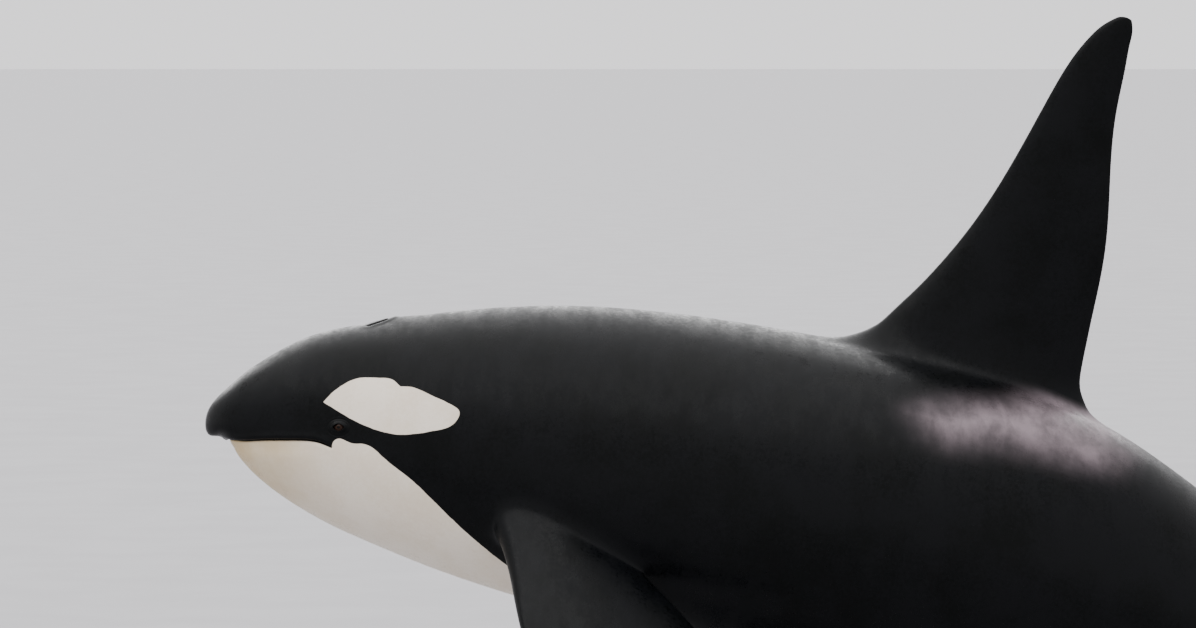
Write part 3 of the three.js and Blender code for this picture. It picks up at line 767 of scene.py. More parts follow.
# Markings of one flank, in metres along and over the spine; a third value makes a sharp corner.
# Both flanks are alike. Heights past the belly or the back carry an outline across its middle.
markings = {
    "eyePatch": [
        (0.471, 0.147, 1), (0.521, 0.209), (0.598, 0.259), (0.669, 0.271), (0.736, 0.270),
        (0.767, 0.250, 1), (0.796, 0.254), (0.896, 0.232), (0.980, 0.207), (1.010, 0.187),
        (1.009, 0.160), (0.976, 0.122), (0.895, 0.090), (0.795, 0.066), (0.728, 0.065),
        (0.602, 0.094),
    ],
    "whites": [
        (0.101, -1.2, 1), "mouth", (0.533, 0.001), (0.548, 0.013), (0.575, 0.011), (0.610, 0.004),
        (0.640, 0.008), (0.668, 0.006), (0.717, -0.019), (0.762, -0.050), (0.820, -0.082),
        (1.00, -0.21), (1.20, -0.35), (1.50, -0.49), (2.0, -0.56), (2.6, -0.63), (3.1, -0.65),
        (3.45, -0.60), (3.75, -0.50), (4.05, -0.36), (4.35, -0.22), (4.65, -0.10), (4.95, -0.03),
        (5.17, -0.01), (5.29, -0.025), (5.33, -0.055), (5.28, -0.090), (5.12, -0.125),
        (4.85, -0.20), (4.62, -0.29), (4.47, -0.38), (4.44, -0.45), (4.54, -0.48), (4.70, -0.465),
        (4.95, -0.42), (5.10, -0.40, 1), (5.10, -1.2, 1),
    ],
    "saddle": [
        (2.728, 0.438, 1), (2.811, 0.497), (2.915, 0.531), (3.054, 0.569), (3.223, 0.616),
        (3.330, 0.680), (3.430, 0.800), (3.530, 0.800), (3.585, 0.620), (3.560, 0.500),
        (3.500, 0.435), (3.400, 0.405), (3.250, 0.395), (3.050, 0.380), (2.842, 0.355),
    ],
    "saddleSoft": (-0.115, 0.165),
    "lipLine": 0.004,  # of the lower lip stays black
    "chinTint": (0.14, 0.54),  # places between which the yellow tint of the lower jaw fades
    "flukeEdge": 0.032,  # black left along the flukes' edges
    "flukeTip": 0.060,
    "flukeRoot": (0.035, 0.75, 1.0),  # more black, growing between these distances from the tip
    "finBlack": (0.03, 0.08),  # how fast the body's white ends at the other fins
    "lipEdge": (0.01, 0.05),  # distances from the lips over which the white's edge starts to wander
    "outlineStep": 0.005,  # between the points of an outline
}

arcPlaces = np.linspace(0.03, math.sqrt(body["length"]), 260) ** 2
turnSteps = np.linspace(0, np.pi, 181)


# Arc lengths from the widest line, up (over 0) and down, for a table of places and turns
def arcTable():
    side, height = sectionPoint(arcPlaces[:, None], turnSteps[None, :])
    arc = np.hypot(np.diff(side, axis=1), np.diff(height, axis=1)).cumsum(1)
    arc = np.pad(arc, ((0, 0), (1, 0)))
    return arc[:, [len(turnSteps) // 2]] - arc


arcs = arcTable()


# Rolls the skin out flat: the place along it, and the way round it from the widest line
def rollOut(place, side, height):
    place = np.clip(place, arcPlaces[0], arcPlaces[-1])
    across, up, _ = sharesAt(place, side, height)
    turn = np.arctan2(across**0.5, np.where(height > wideAt(place), 1, -1) * up**0.5)
    row = np.interp(place, arcPlaces, np.arange(len(arcPlaces)))
    step = turn / np.pi * (len(turnSteps) - 1)
    i = np.clip(row.astype(int), 0, len(arcPlaces) - 2)
    j = np.clip(step.astype(int), 0, len(turnSteps) - 2)
    a, b = row - i, step - j
    low = arcs[i, j] * (1 - b) + arcs[i, j + 1] * b
    high = arcs[i + 1, j] * (1 - b) + arcs[i + 1, j + 1] * b
    return np.stack([place, low * (1 - a) + high * a], -1)


# A closed line on the rolled-out skin, smooth but for its corners
def outlineThrough(points):
    if "mouth" in points:  # its upper edge runs in the groove between the lips
        k = points.index("mouth")
        places = np.linspace(mouth["chin"], mouth["corner"], 16).tolist()
        edge = [(place, float(alongMouth(place)) - markings["lipLine"]) for place in places]
        points = points[:k] + [(*edge[0], 1)] + edge[1:-1] + [(*edge[-1], 1)] + points[k + 1 :]
    place, height = np.array([point[:2] for point in points]).T
    onSkin = np.clip(height, bellyAt(place), backAt(place))
    marks = rollOut(place, skinSide(place, onSkin), onSkin)
    marks[:, 1] += height - onSkin
    line, run = [], [marks[0]]
    for k in [*range(1, len(points)), 0]:
        run.append(marks[k])
        if len(points[k]) < 3:
            continue
        steps = np.cumsum(np.linalg.norm(np.diff(run, axis=0), axis=1))
        along = np.arange(0, steps[-1], markings["outlineStep"])
        knots = np.insert(steps, 0, 0)
        line.append(np.stack([curveThrough(list(zip(knots, row)))(along) for row in zip(*run)], -1))
        run = [marks[k]]
    return np.concatenate([*line, marks[:1]])


# How far flat points are inside a closed line (over 0) or outside it
def insideBy(name, flat):
    line = outlines[name]
    distance, _ = distanceTo(line, flat, 0.12)
    inside = np.zeros(len(flat), bool)
    x, y = flat.T
    for (x0, y0), (x1, y1) in zip(line[:-1], line[1:]):
        if y0 != y1:
            inside ^= ((y0 > y) != (y1 > y)) & (x < x0 + (x1 - x0) * (y - y0) / (y1 - y0))
    return np.where(inside, distance, -distance)


outlines = {name: outlineThrough(markings[name]) for name in ("eyePatch", "whites", "saddle")}


# How far each point of the skin is inside the nearest white marking, in metres
def whiteBy(mesh, flat):
    white = np.maximum(insideBy("eyePatch", flat), insideBy("whites", flat))
    start, slope = markings["finBlack"]
    for name in ("dorsal", "flipper"):
        white = np.minimum(white, start - slope * readValues(mesh, name))
    fromTip = readValues(mesh, "finTip")
    wider, near, far = markings["flukeRoot"]
    edge = markings["flukeEdge"] + wider * smooth(fromTip, near, far)
    under = np.minimum(readValues(mesh, "finEdge") - edge, fromTip - markings["flukeTip"])
    under = np.minimum(under, (readValues(mesh, "fluke") - 0.5) * 0.1)
    return np.maximum(white, np.where(readValues(mesh, "finSide") < 0, under, -0.1))


# Writes the markings to the skin: white in millimetres inside, the others from 0 to 1
def markSkin(mesh):
    points = straightPoints(mesh)
    place, side, _ = points.T
    flat = rollOut(*points.T)
    writeValues(mesh, "white", whiteBy(mesh, flat) * 1000)
    saddle = smooth(insideBy("saddle", flat), *markings["saddleSoft"]) ** 1.5
    writeValues(mesh, "saddle", saddle * (1 - smooth(readValues(mesh, "dorsal"), 0, 1)))
    writeValues(mesh, "chinTint", 1 - smooth(place, *markings["chinTint"]))
    fromLips, _ = distanceTo(lipPath, foldOver(points), 0.06)
    writeValues(mesh, "freeEdge", smooth(fromLips, *markings["lipEdge"]))
    writeValues(mesh, "flat", np.column_stack([flat, np.sign(side)]), "FLOAT_VECTOR")


# Points in the frame of the eye on their side: aft, up and out
def onEyes(points):
    return ((foldOver(points) - eyeCentre) @ eyeWays.T).T


# Sets the body's points on the true curves, all but those at the fins' roots
def toSmoothBody(mesh):
    place, side, height = straightPoints(mesh).T
    wide = wideAt(place)
    weight = 1 - smooth(readValues(mesh, "rooted"), 0, 0.8)
    weight *= smooth(place, *body["settles"]) * (1 - smooth(place, *body["leaves"]))
    factor = 1 + weight * (1 / np.clip(fullness(place, side, height), 0.5, 2) - 1)
    moved = onSpine(place, side * factor, wide + (height - wide) * factor) + snout
    setCoordinates(mesh, np.where(weight[:, None] < 1e-3, coordinates(mesh), moved))


# Cuts each face that has a point among the near ones in four
def refine(piece, near):
    mesh = piece.data
    corners = np.empty(len(mesh.loops), int)
    mesh.loops.foreach_get("vertex_index", corners)
    starts = np.empty(len(mesh.polygons), int)
    mesh.polygons.foreach_get("loop_start", starts)
    edit(piece)
    bpy.ops.mesh.select_mode(type="FACE")
    bpy.ops.object.mode_set(mode="OBJECT")
    mesh.polygons.foreach_set("select", np.logical_or.reduceat(near[corners], starts))
    bpy.ops.object.mode_set(mode="EDIT")
    bpy.ops.mesh.subdivide(number_cuts=1)
    bpy.ops.mesh.select_mode(type="VERT")
    bpy.ops.object.mode_set(mode="OBJECT")
    toSmoothBody(mesh)


# Along and across the opening between the lids
def tilted(aft, up):
    tilt = math.radians(lids["tilt"])
    return aft * math.cos(tilt) - up * math.sin(tilt), aft * math.sin(tilt) + up * math.cos(tilt)


# Roughly how far a point is outside (or, below 0, inside) the opening between the lids
def almondDistance(along, up):
    half, rise = lids["opening"]
    share = np.clip(np.abs(along) / half, 0, 1)
    inside = np.abs(up) - rise * (1 - share**2)
    slope = 2 * rise * share / half
    beyond = np.hypot(np.maximum(np.abs(along) - half, 0), up)
    return np.where(np.abs(along) < half, inside / np.sqrt(1 + slope**2), beyond)


fineness = {
    "bands": [  # distances from the mouth, the eye, the blowhole, the slits and the white's edge
        (0.030, 0.070, 0.060, 0.022, 0.018),
        (0.016, 0.055, 0.034, 0.010, 0.009),
        (0.008, 0.048, 0.014, 0.000, 0.000),
    ],
    "whiteTo": 1.2,  # place behind which the white's edge is fine enough
    "opening": (0.004, 0.04),  # distances from the edge between the lids
}


def refineHead(piece):
    mesh = piece.data
    for mouthBand, eyeBand, holeBand, slitBand, edgeBand in fineness["bands"]:
        points = straightPoints(mesh)
        place, side, height = points.T
        near = distanceTo(lipPath, foldOver(points), 0.1)[0] < mouthBand
        near |= distanceTo(holePath, points, 0.1)[0] < holeBand
        aft, up, out = onEyes(coordinates(mesh) - snout)
        near |= np.hypot(aft / 1.25, up) + 0.3 * np.abs(out) < eyeBand
        for first, last, _, _ in slits:
            over = np.maximum(0, np.maximum(first - place, place - last))
            near |= (np.hypot(over, side) < slitBand) & (height < 0)
        atEdge = np.abs(whiteBy(mesh, rollOut(*points.T))) < edgeBand
        near |= atEdge & (place < fineness["whiteTo"])
        refine(piece, near)
    aft, up, out = onEyes(coordinates(mesh) - snout)
    edge, depth = fineness["opening"]
    refine(piece, (np.abs(almondDistance(*tilted(aft, up))) < edge) & (np.abs(out) < depth))
    print("refined", len(mesh.vertices), "points")


# 1 at 0, falling off to both sides
def bell(x):
    return np.exp(-(x**2))


# A groove with a roll beside it, from the distance to its middle
def groove(distance, depth, width, roll, rollAt, rollWidth):
    return roll * bell((distance - rollAt) / rollWidth) - depth * bell(distance / width)


# Lips, blowhole, slits and lids, each moved off the smooth skin
def shapeHead(mesh):
    points = straightPoints(mesh)
    place, side, height = points.T
    normals = np.empty(len(points) * 3)
    mesh.vertex_normals.foreach_get("vector", normals)

    distance, _ = distanceTo(lipPath, foldOver(points), 0.12)
    toCorner = place - mouth["corner"]
    inMouth = (place > mouth["chin"] - 0.002) & (place < mouth["end"])
    drop = np.where(toCorner < 0, alongMouth(place) - height, distance)
    inset = 1 - smooth(toCorner, *mouth["stepFades"])
    inset *= 1 - smooth(drop, 0, mouth["cheek"])
    inset *= smooth(drop, -mouth["stepEdge"], mouth["stepEdge"]) * inMouth
    depth, width, roll, *rollShape = mouth["groove"]
    roll = roll * np.where(inMouth & (height < alongMouth(place)), 0.5, 1)
    fade = 1 - smooth(toCorner, *mouth["grooveFades"]) * mouth["grooveLost"]
    rise = fade * groove(distance, depth, width, roll, *rollShape) - mouth["step"] * inset

    distance, share = distanceTo(holePath, points, 0.12)
    ends = 1 - (1 - blowhole["ends"]) * (2 * share - 1) ** 4
    rise += ends * groove(distance, *blowhole["groove"])
    middle, length, width, high = blowhole["mound"]
    mound = 1 - ((place - middle) / length) ** 2 - (side / width) ** 2
    rise += np.where(height > 0, high * np.maximum(0, mound) ** 2, 0)

    for first, last, deep, half in slits:
        gap = np.hypot(np.maximum(0, np.maximum(first - place, place - last)), side)
        shape = groove(gap, deep, half, 0.25 * deep, 3 * half, 1.5 * half)
        rise += np.where(height < 0, shape, 0)

    moved = coordinates(mesh) - snout + normals.reshape(-1, 3) * rise[:, None]
    aft, up, out = onEyes(moved)
    along, across = tilted(aft, up)
    edge = almondDistance(along, across)
    length, high, reach = lids["mound"]
    mound = 1 - (aft / length) ** 2 - (up / high) ** 2
    shell = reach * np.sign(mound) * np.sqrt(np.abs(mound))
    blend = np.maximum(lids["blend"] - np.abs(out - shell), 0) ** 2 / (4 * lids["blend"])
    lid = np.maximum(out, shell) + blend
    lid = out + (lid - out) * (1 - smooth(np.abs(edge), 0, lids["reach"]))
    ring = np.hypot(along / lids["fold"][0], across / lids["fold"][1])
    for size, depth in lids["folds"]:
        lid -= depth * bell((ring - size) / lids["foldWidth"])
    ball = np.sqrt(np.maximum(eye["radius"] ** 2 - aft**2 - up**2, 0))
    lid += (np.maximum(lid, ball + lids["rim"]) - lid) * (1 - smooth(edge, *lids["rimFades"]))
    lid += (ball - lids["inside"] - lid) * (1 - smooth(edge, *lids["opens"]))
    lift = np.where(aft**2 + up**2 + out**2 < lids["field"] ** 2, lid - out, 0)
    outward = eyeWays[2] * np.where(side[:, None] < 0, (1, -1, 1), 1)
    setCoordinates(mesh, moved + lift[:, None] * outward + snout)


toSmoothBody(skin.data)
refineHead(skin)
markSkin(skin.data)
shapeHead(skin.data)
for name in ("ring", "column", "fin", "level", "rooted", "finSide", "finEdge", "finTip"):
    skin.data.attributes.remove(skin.data.attributes[name])
finishPiece(
    skin, "black_skin", 180, "head", "lower_jaw", "torso_front", "torso_rear", "tail_stock",
    "dorsal_fin", "flipper_left", "flipper_right", "fluke_left", "fluke_right",
)
print("skin", sum(len(p.vertices) - 2 for p in skin.data.polygons), "triangles")


# Eyes: a ball with a low clear dome in front, which shows between the lids

eyeball = {
    "segments": 48,
    "rings": 36,
    "dome": 0.0150,  # half width of the cornea
    "bulge": 0.0016,
    "steps": 8,  # of the dome
}


# The left one is modelled, and mirrored for the right
def buildEyes():
    centre, outward = eyeCentre * (1, -1, 1), eyeWays[2] * (1, -1, 1)
    deselectAll()
    bpy.ops.mesh.primitive_uv_sphere_add(
        segments=eyeball["segments"], ring_count=eyeball["rings"], radius=eye["radius"],
        location=snout + centre, rotation=Vector(outward).to_track_quat("Z", "Y").to_euler(),
    )
    left = newPiece("eyeball_left")
    bpy.ops.mesh.select_all(action="DESELECT")
    bpy.ops.object.mode_set(mode="OBJECT")
    aft, up, out = onEyes(coordinates(left.data) - snout)
    for step in range(eyeball["steps"]):  # a ring of the dome at a time, each a little further out
        reach = eyeball["dome"] * (1 - step / eyeball["steps"])
        left.data.vertices.foreach_set("select", (np.hypot(aft, up) < reach) & (out > 0))
        bpy.ops.object.mode_set(mode="EDIT")
        bpy.ops.transform.translate(value=(outward * eyeball["bulge"] / eyeball["steps"]).tolist())
        bpy.ops.object.mode_set(mode="OBJECT")
    writeValues(left.data, "aft", aft * 1000)
    writeValues(left.data, "up", up * 1000)
    right = copyOf(left, "eyeball_right", scale=(1, -1, 1))
    turnFacesOut(right)
    return [finishPiece(left, "eye", 180, "eye_left"), finishPiece(right, "eye", 180, "eye_right")]


eyes = buildEyes()
print("eyes done")


# Stand: a flat painted base, two steel rods, and a collar with six screws at the foot of each

stand = {
    "plinth": (0.030, 0.018),  # how far the base's foot stands back, and its height
    "corner": 0.140,
    "bevel": 0.008,
    "rod": 0.045,
    "rodHole": 0.027,
    "sides": 96,
    "pad": (0.062, 0.030),  # radius and depth of the rubber ring under the belly
    "padBevel": 0.006,
    "padGap": 0.0003,  # to the rod
    "collar": [  # radius, height over the base
        (0.0455, 0.0), (0.0455, 0.130), (0.062, 0.130), (0.0645, 0.1285), (0.066, 0.126),
        (0.066, 0.032), (0.068, 0.0245), (0.073, 0.0195), (0.080, 0.018), (0.1115, 0.018),
        (0.114, 0.0168), (0.115, 0.0145), (0.115, 0.0),
    ],
    "flange": 0.018,
    "screws": 6,
    "screwCircle": 0.092,
    "screwHead": (0.0095, 0.007),
    "screwRim": 0.0016,
    "screwDome": 0.0008,
    "screwSocket": (0.0030, 0.0045),  # how far in from the rim it starts, and its depth
}


# Whether an edge lies flat at one of the heights
def flatAt(edge, *heights):
    return any(all(abs(v.co.z - height) < 1e-4 for v in edge.verts) for height in heights)


def buildBase():
    low, high = np.array(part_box("stand_base"))
    back, foot = stand["plinth"]
    size, middle = high - low, (low + high) / 2
    deselectAll()
    bpy.ops.mesh.primitive_cube_add(
        size=1, location=(*middle[:2], (high[2] + foot) / 2), scale=(*size[:2], size[2] - foot)
    )
    base = newPiece("stand_plate")
    choose("EDGE", lambda e: abs(e.verts[0].co.z - e.verts[1].co.z) > 0.01)
    bpy.ops.mesh.bevel(offset=stand["corner"], offset_type="OFFSET", segments=14)
    choose("FACE", lambda f: f.normal.z < -0.9)
    bpy.ops.mesh.inset(thickness=back)
    extrude(0, 0, -foot)
    choose("EDGE", lambda e: flatAt(e, high[2], low[2] + foot) and e.calc_face_angle(0) > 1.2)
    bpy.ops.mesh.bevel(offset=stand["bevel"], segments=5)
    return finishPiece(base, "stand_paint", 32, "stand_base")


# An upright tube whose top follows the belly; without a bottom it is a ring as deep as a pad
def uprightTo(name, x, radius, inner, bottom=None):
    deselectAll()
    bpy.ops.mesh.primitive_cylinder_add(
        vertices=stand["sides"], radius=radius, depth=0.1, location=(x, 0, 0), end_fill_type="NOTHING"
    )
    tube = newPiece(name)
    for z in (0.05, -0.05):
        choose("EDGE", lambda e: flatAt(e, z))
        extrude(0, 0, 0)
        bpy.ops.transform.resize(value=(inner / radius, inner / radius, 1), center_override=(x, 0, z))
    turnFacesOut(tube)
    points = coordinates(tube.data)
    for point in points:
        belly = skin.ray_cast((point[0], point[1], 0.2), (0, 0, 1))[1].z
        foot = belly - stand["pad"][1] if bottom is None else bottom
        point[2] = belly if point[2] > 0 else foot
    setCoordinates(tube.data, points)
    edit(tube)
    return tube


def buildRod(end, x, bottom):
    rod = uprightTo("rod_" + end, x, stand["rod"], stand["rodHole"], bottom)
    for top in (False, True):
        choose("EDGE", lambda e: e.is_boundary and (e.verts[0].co.z > bottom + 0.05) == top)
        bpy.ops.mesh.edge_face_add()
    return finishPiece(rod, "stand_steel", 35, "stand_rod_" + end)


def buildPad(end, x):
    radius = stand["pad"][0]
    pad = uprightTo("rod_pad_" + end, x, radius, stand["rod"] + stand["padGap"])
    choose("EDGE", lambda e: e.is_boundary)
    bpy.ops.mesh.bridge_edge_loops()
    choose("EDGE", lambda e: e.calc_face_angle(0) > 0.9 and all(
        math.hypot(v.co.x - x, v.co.y) > radius - 1e-3 for v in e.verts
    ))
    bpy.ops.mesh.bevel(offset=stand["padBevel"], segments=4)
    turnFacesOut(pad)
    return finishPiece(pad, "stand_paint", 35)


# The collar and the screws are modelled round the origin and copied to the foot of each rod
def buildCollar():
    deselectAll()
    bpy.ops.mesh.primitive_plane_add(size=0.01)
    collar = newPiece("collar")
    bpy.ops.mesh.delete(type="VERT")
    cage = bmesh.from_edit_mesh(collar.data)
    profile = [cage.verts.new((radius, 0, height)) for radius, height in stand["collar"]]
    for pair in zip(profile, profile[1:]):
        cage.edges.new(pair)
    bmesh.update_edit_mesh(collar.data)
    bpy.ops.mesh.select_all(action="SELECT")
    bpy.ops.mesh.spin(steps=stand["sides"], angle=math.tau, center=(0, 0, 0), axis=(0, 0, 1))
    bpy.ops.mesh.remove_doubles(threshold=1e-5)
    choose("EDGE", lambda e: e.is_boundary)
    bpy.ops.mesh.bridge_edge_loops()
    turnFacesOut(collar)
    return collar


def buildScrews():
    radius, height = stand["screwHead"]
    inward, deep = stand["screwSocket"]
    turn = math.tau / stand["screws"]
    x, y = (stand["screwCircle"] * way(turn / 2) for way in (math.cos, math.sin))
    deselectAll()
    bpy.ops.mesh.primitive_cylinder_add(
        vertices=24, radius=radius, depth=height, location=(x, y, stand["flange"] + height / 2)
    )
    screw = newPiece("screws")
    choose("FACE", lambda f: f.normal.z > 0.9)
    bpy.ops.mesh.inset(thickness=stand["screwRim"])
    bpy.ops.transform.translate(value=(0, 0, stand["screwDome"]))
    bpy.ops.mesh.inset(thickness=inward)
    extrude(0, 0, -deep)
    bpy.ops.object.mode_set(mode="OBJECT")
    others = range(1, stand["screws"])
    screws = [copyOf(screw, "screw", rotation_euler=(0, 0, turn * k)) for k in others]
    makeActive(screw)
    for copy in screws:
        copy.select_set(True)
    bpy.ops.object.join()
    return screw


stands = {"paint": [buildBase()], "steel": [], "rubber": []}
collar, screws = buildCollar(), buildScrews()
for end in ("front", "rear"):
    low, high = np.array(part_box("stand_rod_" + end))
    foot = (low[0] + high[0]) / 2, 0, low[2]
    stands["steel"].append(buildRod(end, foot[0], foot[2]))
    stands["rubber"].append(buildPad(end, foot[0]))
    piece = copyOf(collar, "collar_" + end, location=foot)
    stands["paint"].append(finishPiece(piece, "stand_paint", 32, "stand_collar_" + end))
    piece = copyOf(screws, "screws_" + end, location=foot)
    stands["steel"].append(finishPiece(piece, "stand_steel", 32))
for model in (collar, screws):
    bpy.data.objects.remove(model)
print("stand done")


# Materials

# sRGB hex to the linear values that shaders take
def colour(code):
    parts = [int(code[i : i + 2], 16) / 255 for i in (0, 2, 4)]
    return [v / 12.92 if v <= 0.04045 else ((v + 0.055) / 1.055) ** 2.4 for v in parts] + [1]


# Sets a node's inputs to values or hex colours, or links them to other nodes' outputs
def fill(tree, node, inputs):
    for name, value in inputs.items() if isinstance(inputs, dict) else enumerate(inputs):
        if isinstance(value, bpy.types.NodeSocket):
            tree.links.new(value, node.inputs[name])
        else:
            node.inputs[name].default_value = colour(value) if isinstance(value, str) else value


# Adds a node with its inputs and its own settings, and gives one of its outputs
def addNode(tree, kind, inputs=(), output=0, **settings):
    node = tree.nodes.new("ShaderNode" + kind)
    for name, value in settings.items():
        setattr(node, name, value)
    fill(tree, node, inputs)
    return node.outputs[output]


# A new material with the patterns of its look on Object coordinates: each has its size in
# millimetres, its detail and its roughness, and a stretched one also a Mapping's turn and scale
def newMaterial(name, patterns):
    material = bpy.data.materials.new(name)
    material.use_nodes = True
    tree = material.node_tree
    here = addNode(tree, "TexCoord", output="Object")
    noise = {}
    for key, (size, detail, rough, *stretch) in patterns.items():
        inputs = {"Vector": here, "Scale": 1000 / size, "Detail": detail, "Roughness": rough}
        if stretch:
            mapping = {"Vector": here, "Rotation": stretch[0], "Scale": stretch[1]}
            inputs["Vector"] = addNode(tree, "Mapping", mapping)
        noise[key] = addNode(tree, "TexNoise", inputs)
    return material, tree, tree.nodes["Principled BSDF"], noise


def dress(material, *pieces):
    for piece in pieces:
        piece.data.materials.clear()
        piece.data.materials.append(material)


step = {"interpolation_type": "SMOOTHSTEP"}
paint = {"data_type": "RGBA"}

skinLook = {
    "black": ("010202", "07080a"),
    "white": ("e6dccd", "ddd0bd"),
    "chin": "b89e6a",
    "saddle": ("6c6266", "7b6f74"),
    "scar": "55565c",
    "patterns": {
        "wander": (70, 4, 0.5),
        "broad": (320, 4, 0.6),
        "fine": (14, 5, 0.65),
        "folds": (55, 5, 0.6, (0, -0.26, 0), (1, 0.4, 0.4)),
        "streaks": (60, 4, 0.6, (0, 0.3, 0), (1, 0.5, 0.4)),
        "clouds": (170, 5, 0.6),
        "dents": (140, 2, 0.5),
        "grain": (7, 3, 0.5),
    },
    "bumps": [("dents", 0.4, 0.004), ("folds", 0.5, 0.002), ("grain", 0.2, 0.0005)],
    "rakes": [  # side, place, way round from the widest line, degrees, length, tooth spacing, marks
        (-1, 5.02, 0.07, -24, 0.42, 0.027, 4),
        (-1, 4.28, 0.13, 14, 0.30, 0.026, 3),
        (1, 1.62, 0.16, 22, 0.46, 0.029, 5),
        (1, 3.95, 0.06, -30, 0.52, 0.028, 6),
        (1, 2.70, -0.12, 12, 0.34, 0.027, 4),
    ],
    "edge": 8.0,  # millimetres over which the white's edge wanders
}


# Healed tooth rakes from play and quarrels: sets of thin, slightly curved lines side by side
def rakeMarks(tree, flat):
    total = 0.0
    for side, place, arc, degrees, length, spacing, count in skinLook["rakes"]:
        centred = [flat, (place, arc, 0), (0, 0, -math.radians(degrees))]
        centred = addNode(tree, "Mapping", centred, vector_type="TEXTURE")
        x, y, z = addNode(tree, "SeparateXYZ", [centred]).node.outputs
        squared = addNode(tree, "Math", [x, x], operation="MULTIPLY")
        bent = addNode(tree, "Math", [squared, 0.35, y], operation="MULTIPLY_ADD")
        turn = addNode(tree, "Math", [bent, math.tau / spacing], operation="MULTIPLY")
        wave = addNode(tree, "Math", [turn], operation="COSINE")
        across, along = (addNode(tree, "Math", [v], operation="ABSOLUTE") for v in (bent, x))
        mark = addNode(tree, "Math", [z, side, 0.5], operation="COMPARE")
        for limits in (
            (wave, 0.78, 0.99),
            (across, spacing * count / 2, spacing * (count / 2 - 0.2)),
            (along, length / 2, length / 4),
        ):
            within = addNode(tree, "MapRange", limits, **step)
            mark = addNode(tree, "Math", [mark, within], operation="MULTIPLY")
        total = addNode(tree, "Math", [mark, total], operation="MAXIMUM")
    return total


# Wet hairless skin: deep black and cream white that meet in a clean line, a thin film of gloss,
# and a fine uneven surface that breaks up the reflections
def skinMaterial():
    material, tree, shader, noise = newMaterial("wet_skin", skinLook["patterns"])
    marks = {
        name: addNode(tree, "Attribute", output="Fac", attribute_name=name)
        for name in ("white", "freeEdge", "chinTint", "saddle")
    }
    uneven = addNode(tree, "Mix", {0: 0.5, 2: noise["fine"], 3: noise["folds"]})
    mottle = addNode(tree, "Math", [noise["fine"], 0.5, noise["broad"]], operation="MULTIPLY_ADD")
    mottle = addNode(tree, "MapRange", [mottle, 0.55, 0.90], **step)
    streaks = addNode(tree, "Mix", {0: 0.6, 2: noise["streaks"], 3: noise["clouds"]})
    clouded = addNode(tree, "MapRange", [streaks, 0.35, 0.65], **step)
    black, cream, grey = (
        addNode(tree, "Mix", {0: share, 6: skinLook[name][0], 7: skinLook[name][1]}, 2, **paint)
        for name, share in (("black", mottle), ("white", mottle), ("saddle", clouded))
    )

    chin = addNode(tree, "MapRange", [noise["broad"], 0.2, 0.8, 0.45, 1.0], **step)
    chin = addNode(tree, "Math", [marks["chinTint"], chin], operation="MULTIPLY")
    cream = addNode(tree, "Mix", {0: chin, 6: cream, 7: skinLook["chin"]}, 2, **paint)
    faded = addNode(tree, "MapRange", [streaks, 0.3, 0.7, 0.6, 1.15], **step)
    faded = addNode(tree, "Math", [marks["saddle"], faded], operation="MULTIPLY")
    black = addNode(tree, "Mix", {0: faded, 6: black, 7: grey}, 2, **paint)
    flat = addNode(tree, "Attribute", output="Vector", attribute_name="flat")
    gaps = addNode(tree, "MapRange", [noise["fine"], 0.35, 0.6, 0, 0.3], **step)
    scars = addNode(tree, "Math", [rakeMarks(tree, flat), gaps], operation="MULTIPLY")
    black = addNode(tree, "Mix", {0: scars, 6: black, 7: skinLook["scar"]}, 2, **paint)

    edge = [noise["wander"], skinLook["edge"], -skinLook["edge"] / 2]
    edge = addNode(tree, "Math", edge, operation="MULTIPLY_ADD")
    edge = addNode(tree, "Math", [edge, marks["freeEdge"], marks["white"]], operation="MULTIPLY_ADD")
    white = addNode(tree, "MapRange", [edge, -1.4, 1.4], **step)

    normal = (0, 0, 0)
    for name, strength, distance in skinLook["bumps"]:
        bump = {"Height": noise[name], "Strength": strength, "Distance": distance, "Normal": normal}
        normal = addNode(tree, "Bump", bump)
    fill(tree, shader, {
        "Base Color": addNode(tree, "Mix", {0: white, 6: black, 7: cream}, 2, **paint),
        "Roughness": addNode(tree, "MapRange", [uneven, 0.38, 0.62, 0.24, 0.46], **step),
        "IOR": 1.18,
        "Normal": normal,
    })
    return material


eyeLook = {
    "iris": ("160d09", "2e1b10"),
    "white": ("2a1f1b", "20110f"),
    "pupil": "010101",
    "patterns": {"fibres": (1.6, 4, 0.5), "veins": (5, 6, 0.7)},
    "irisEdge": (11.5, 13.5),  # millimetres from the middle
    "pupilSize": (7.5, 4.6, 1),
}


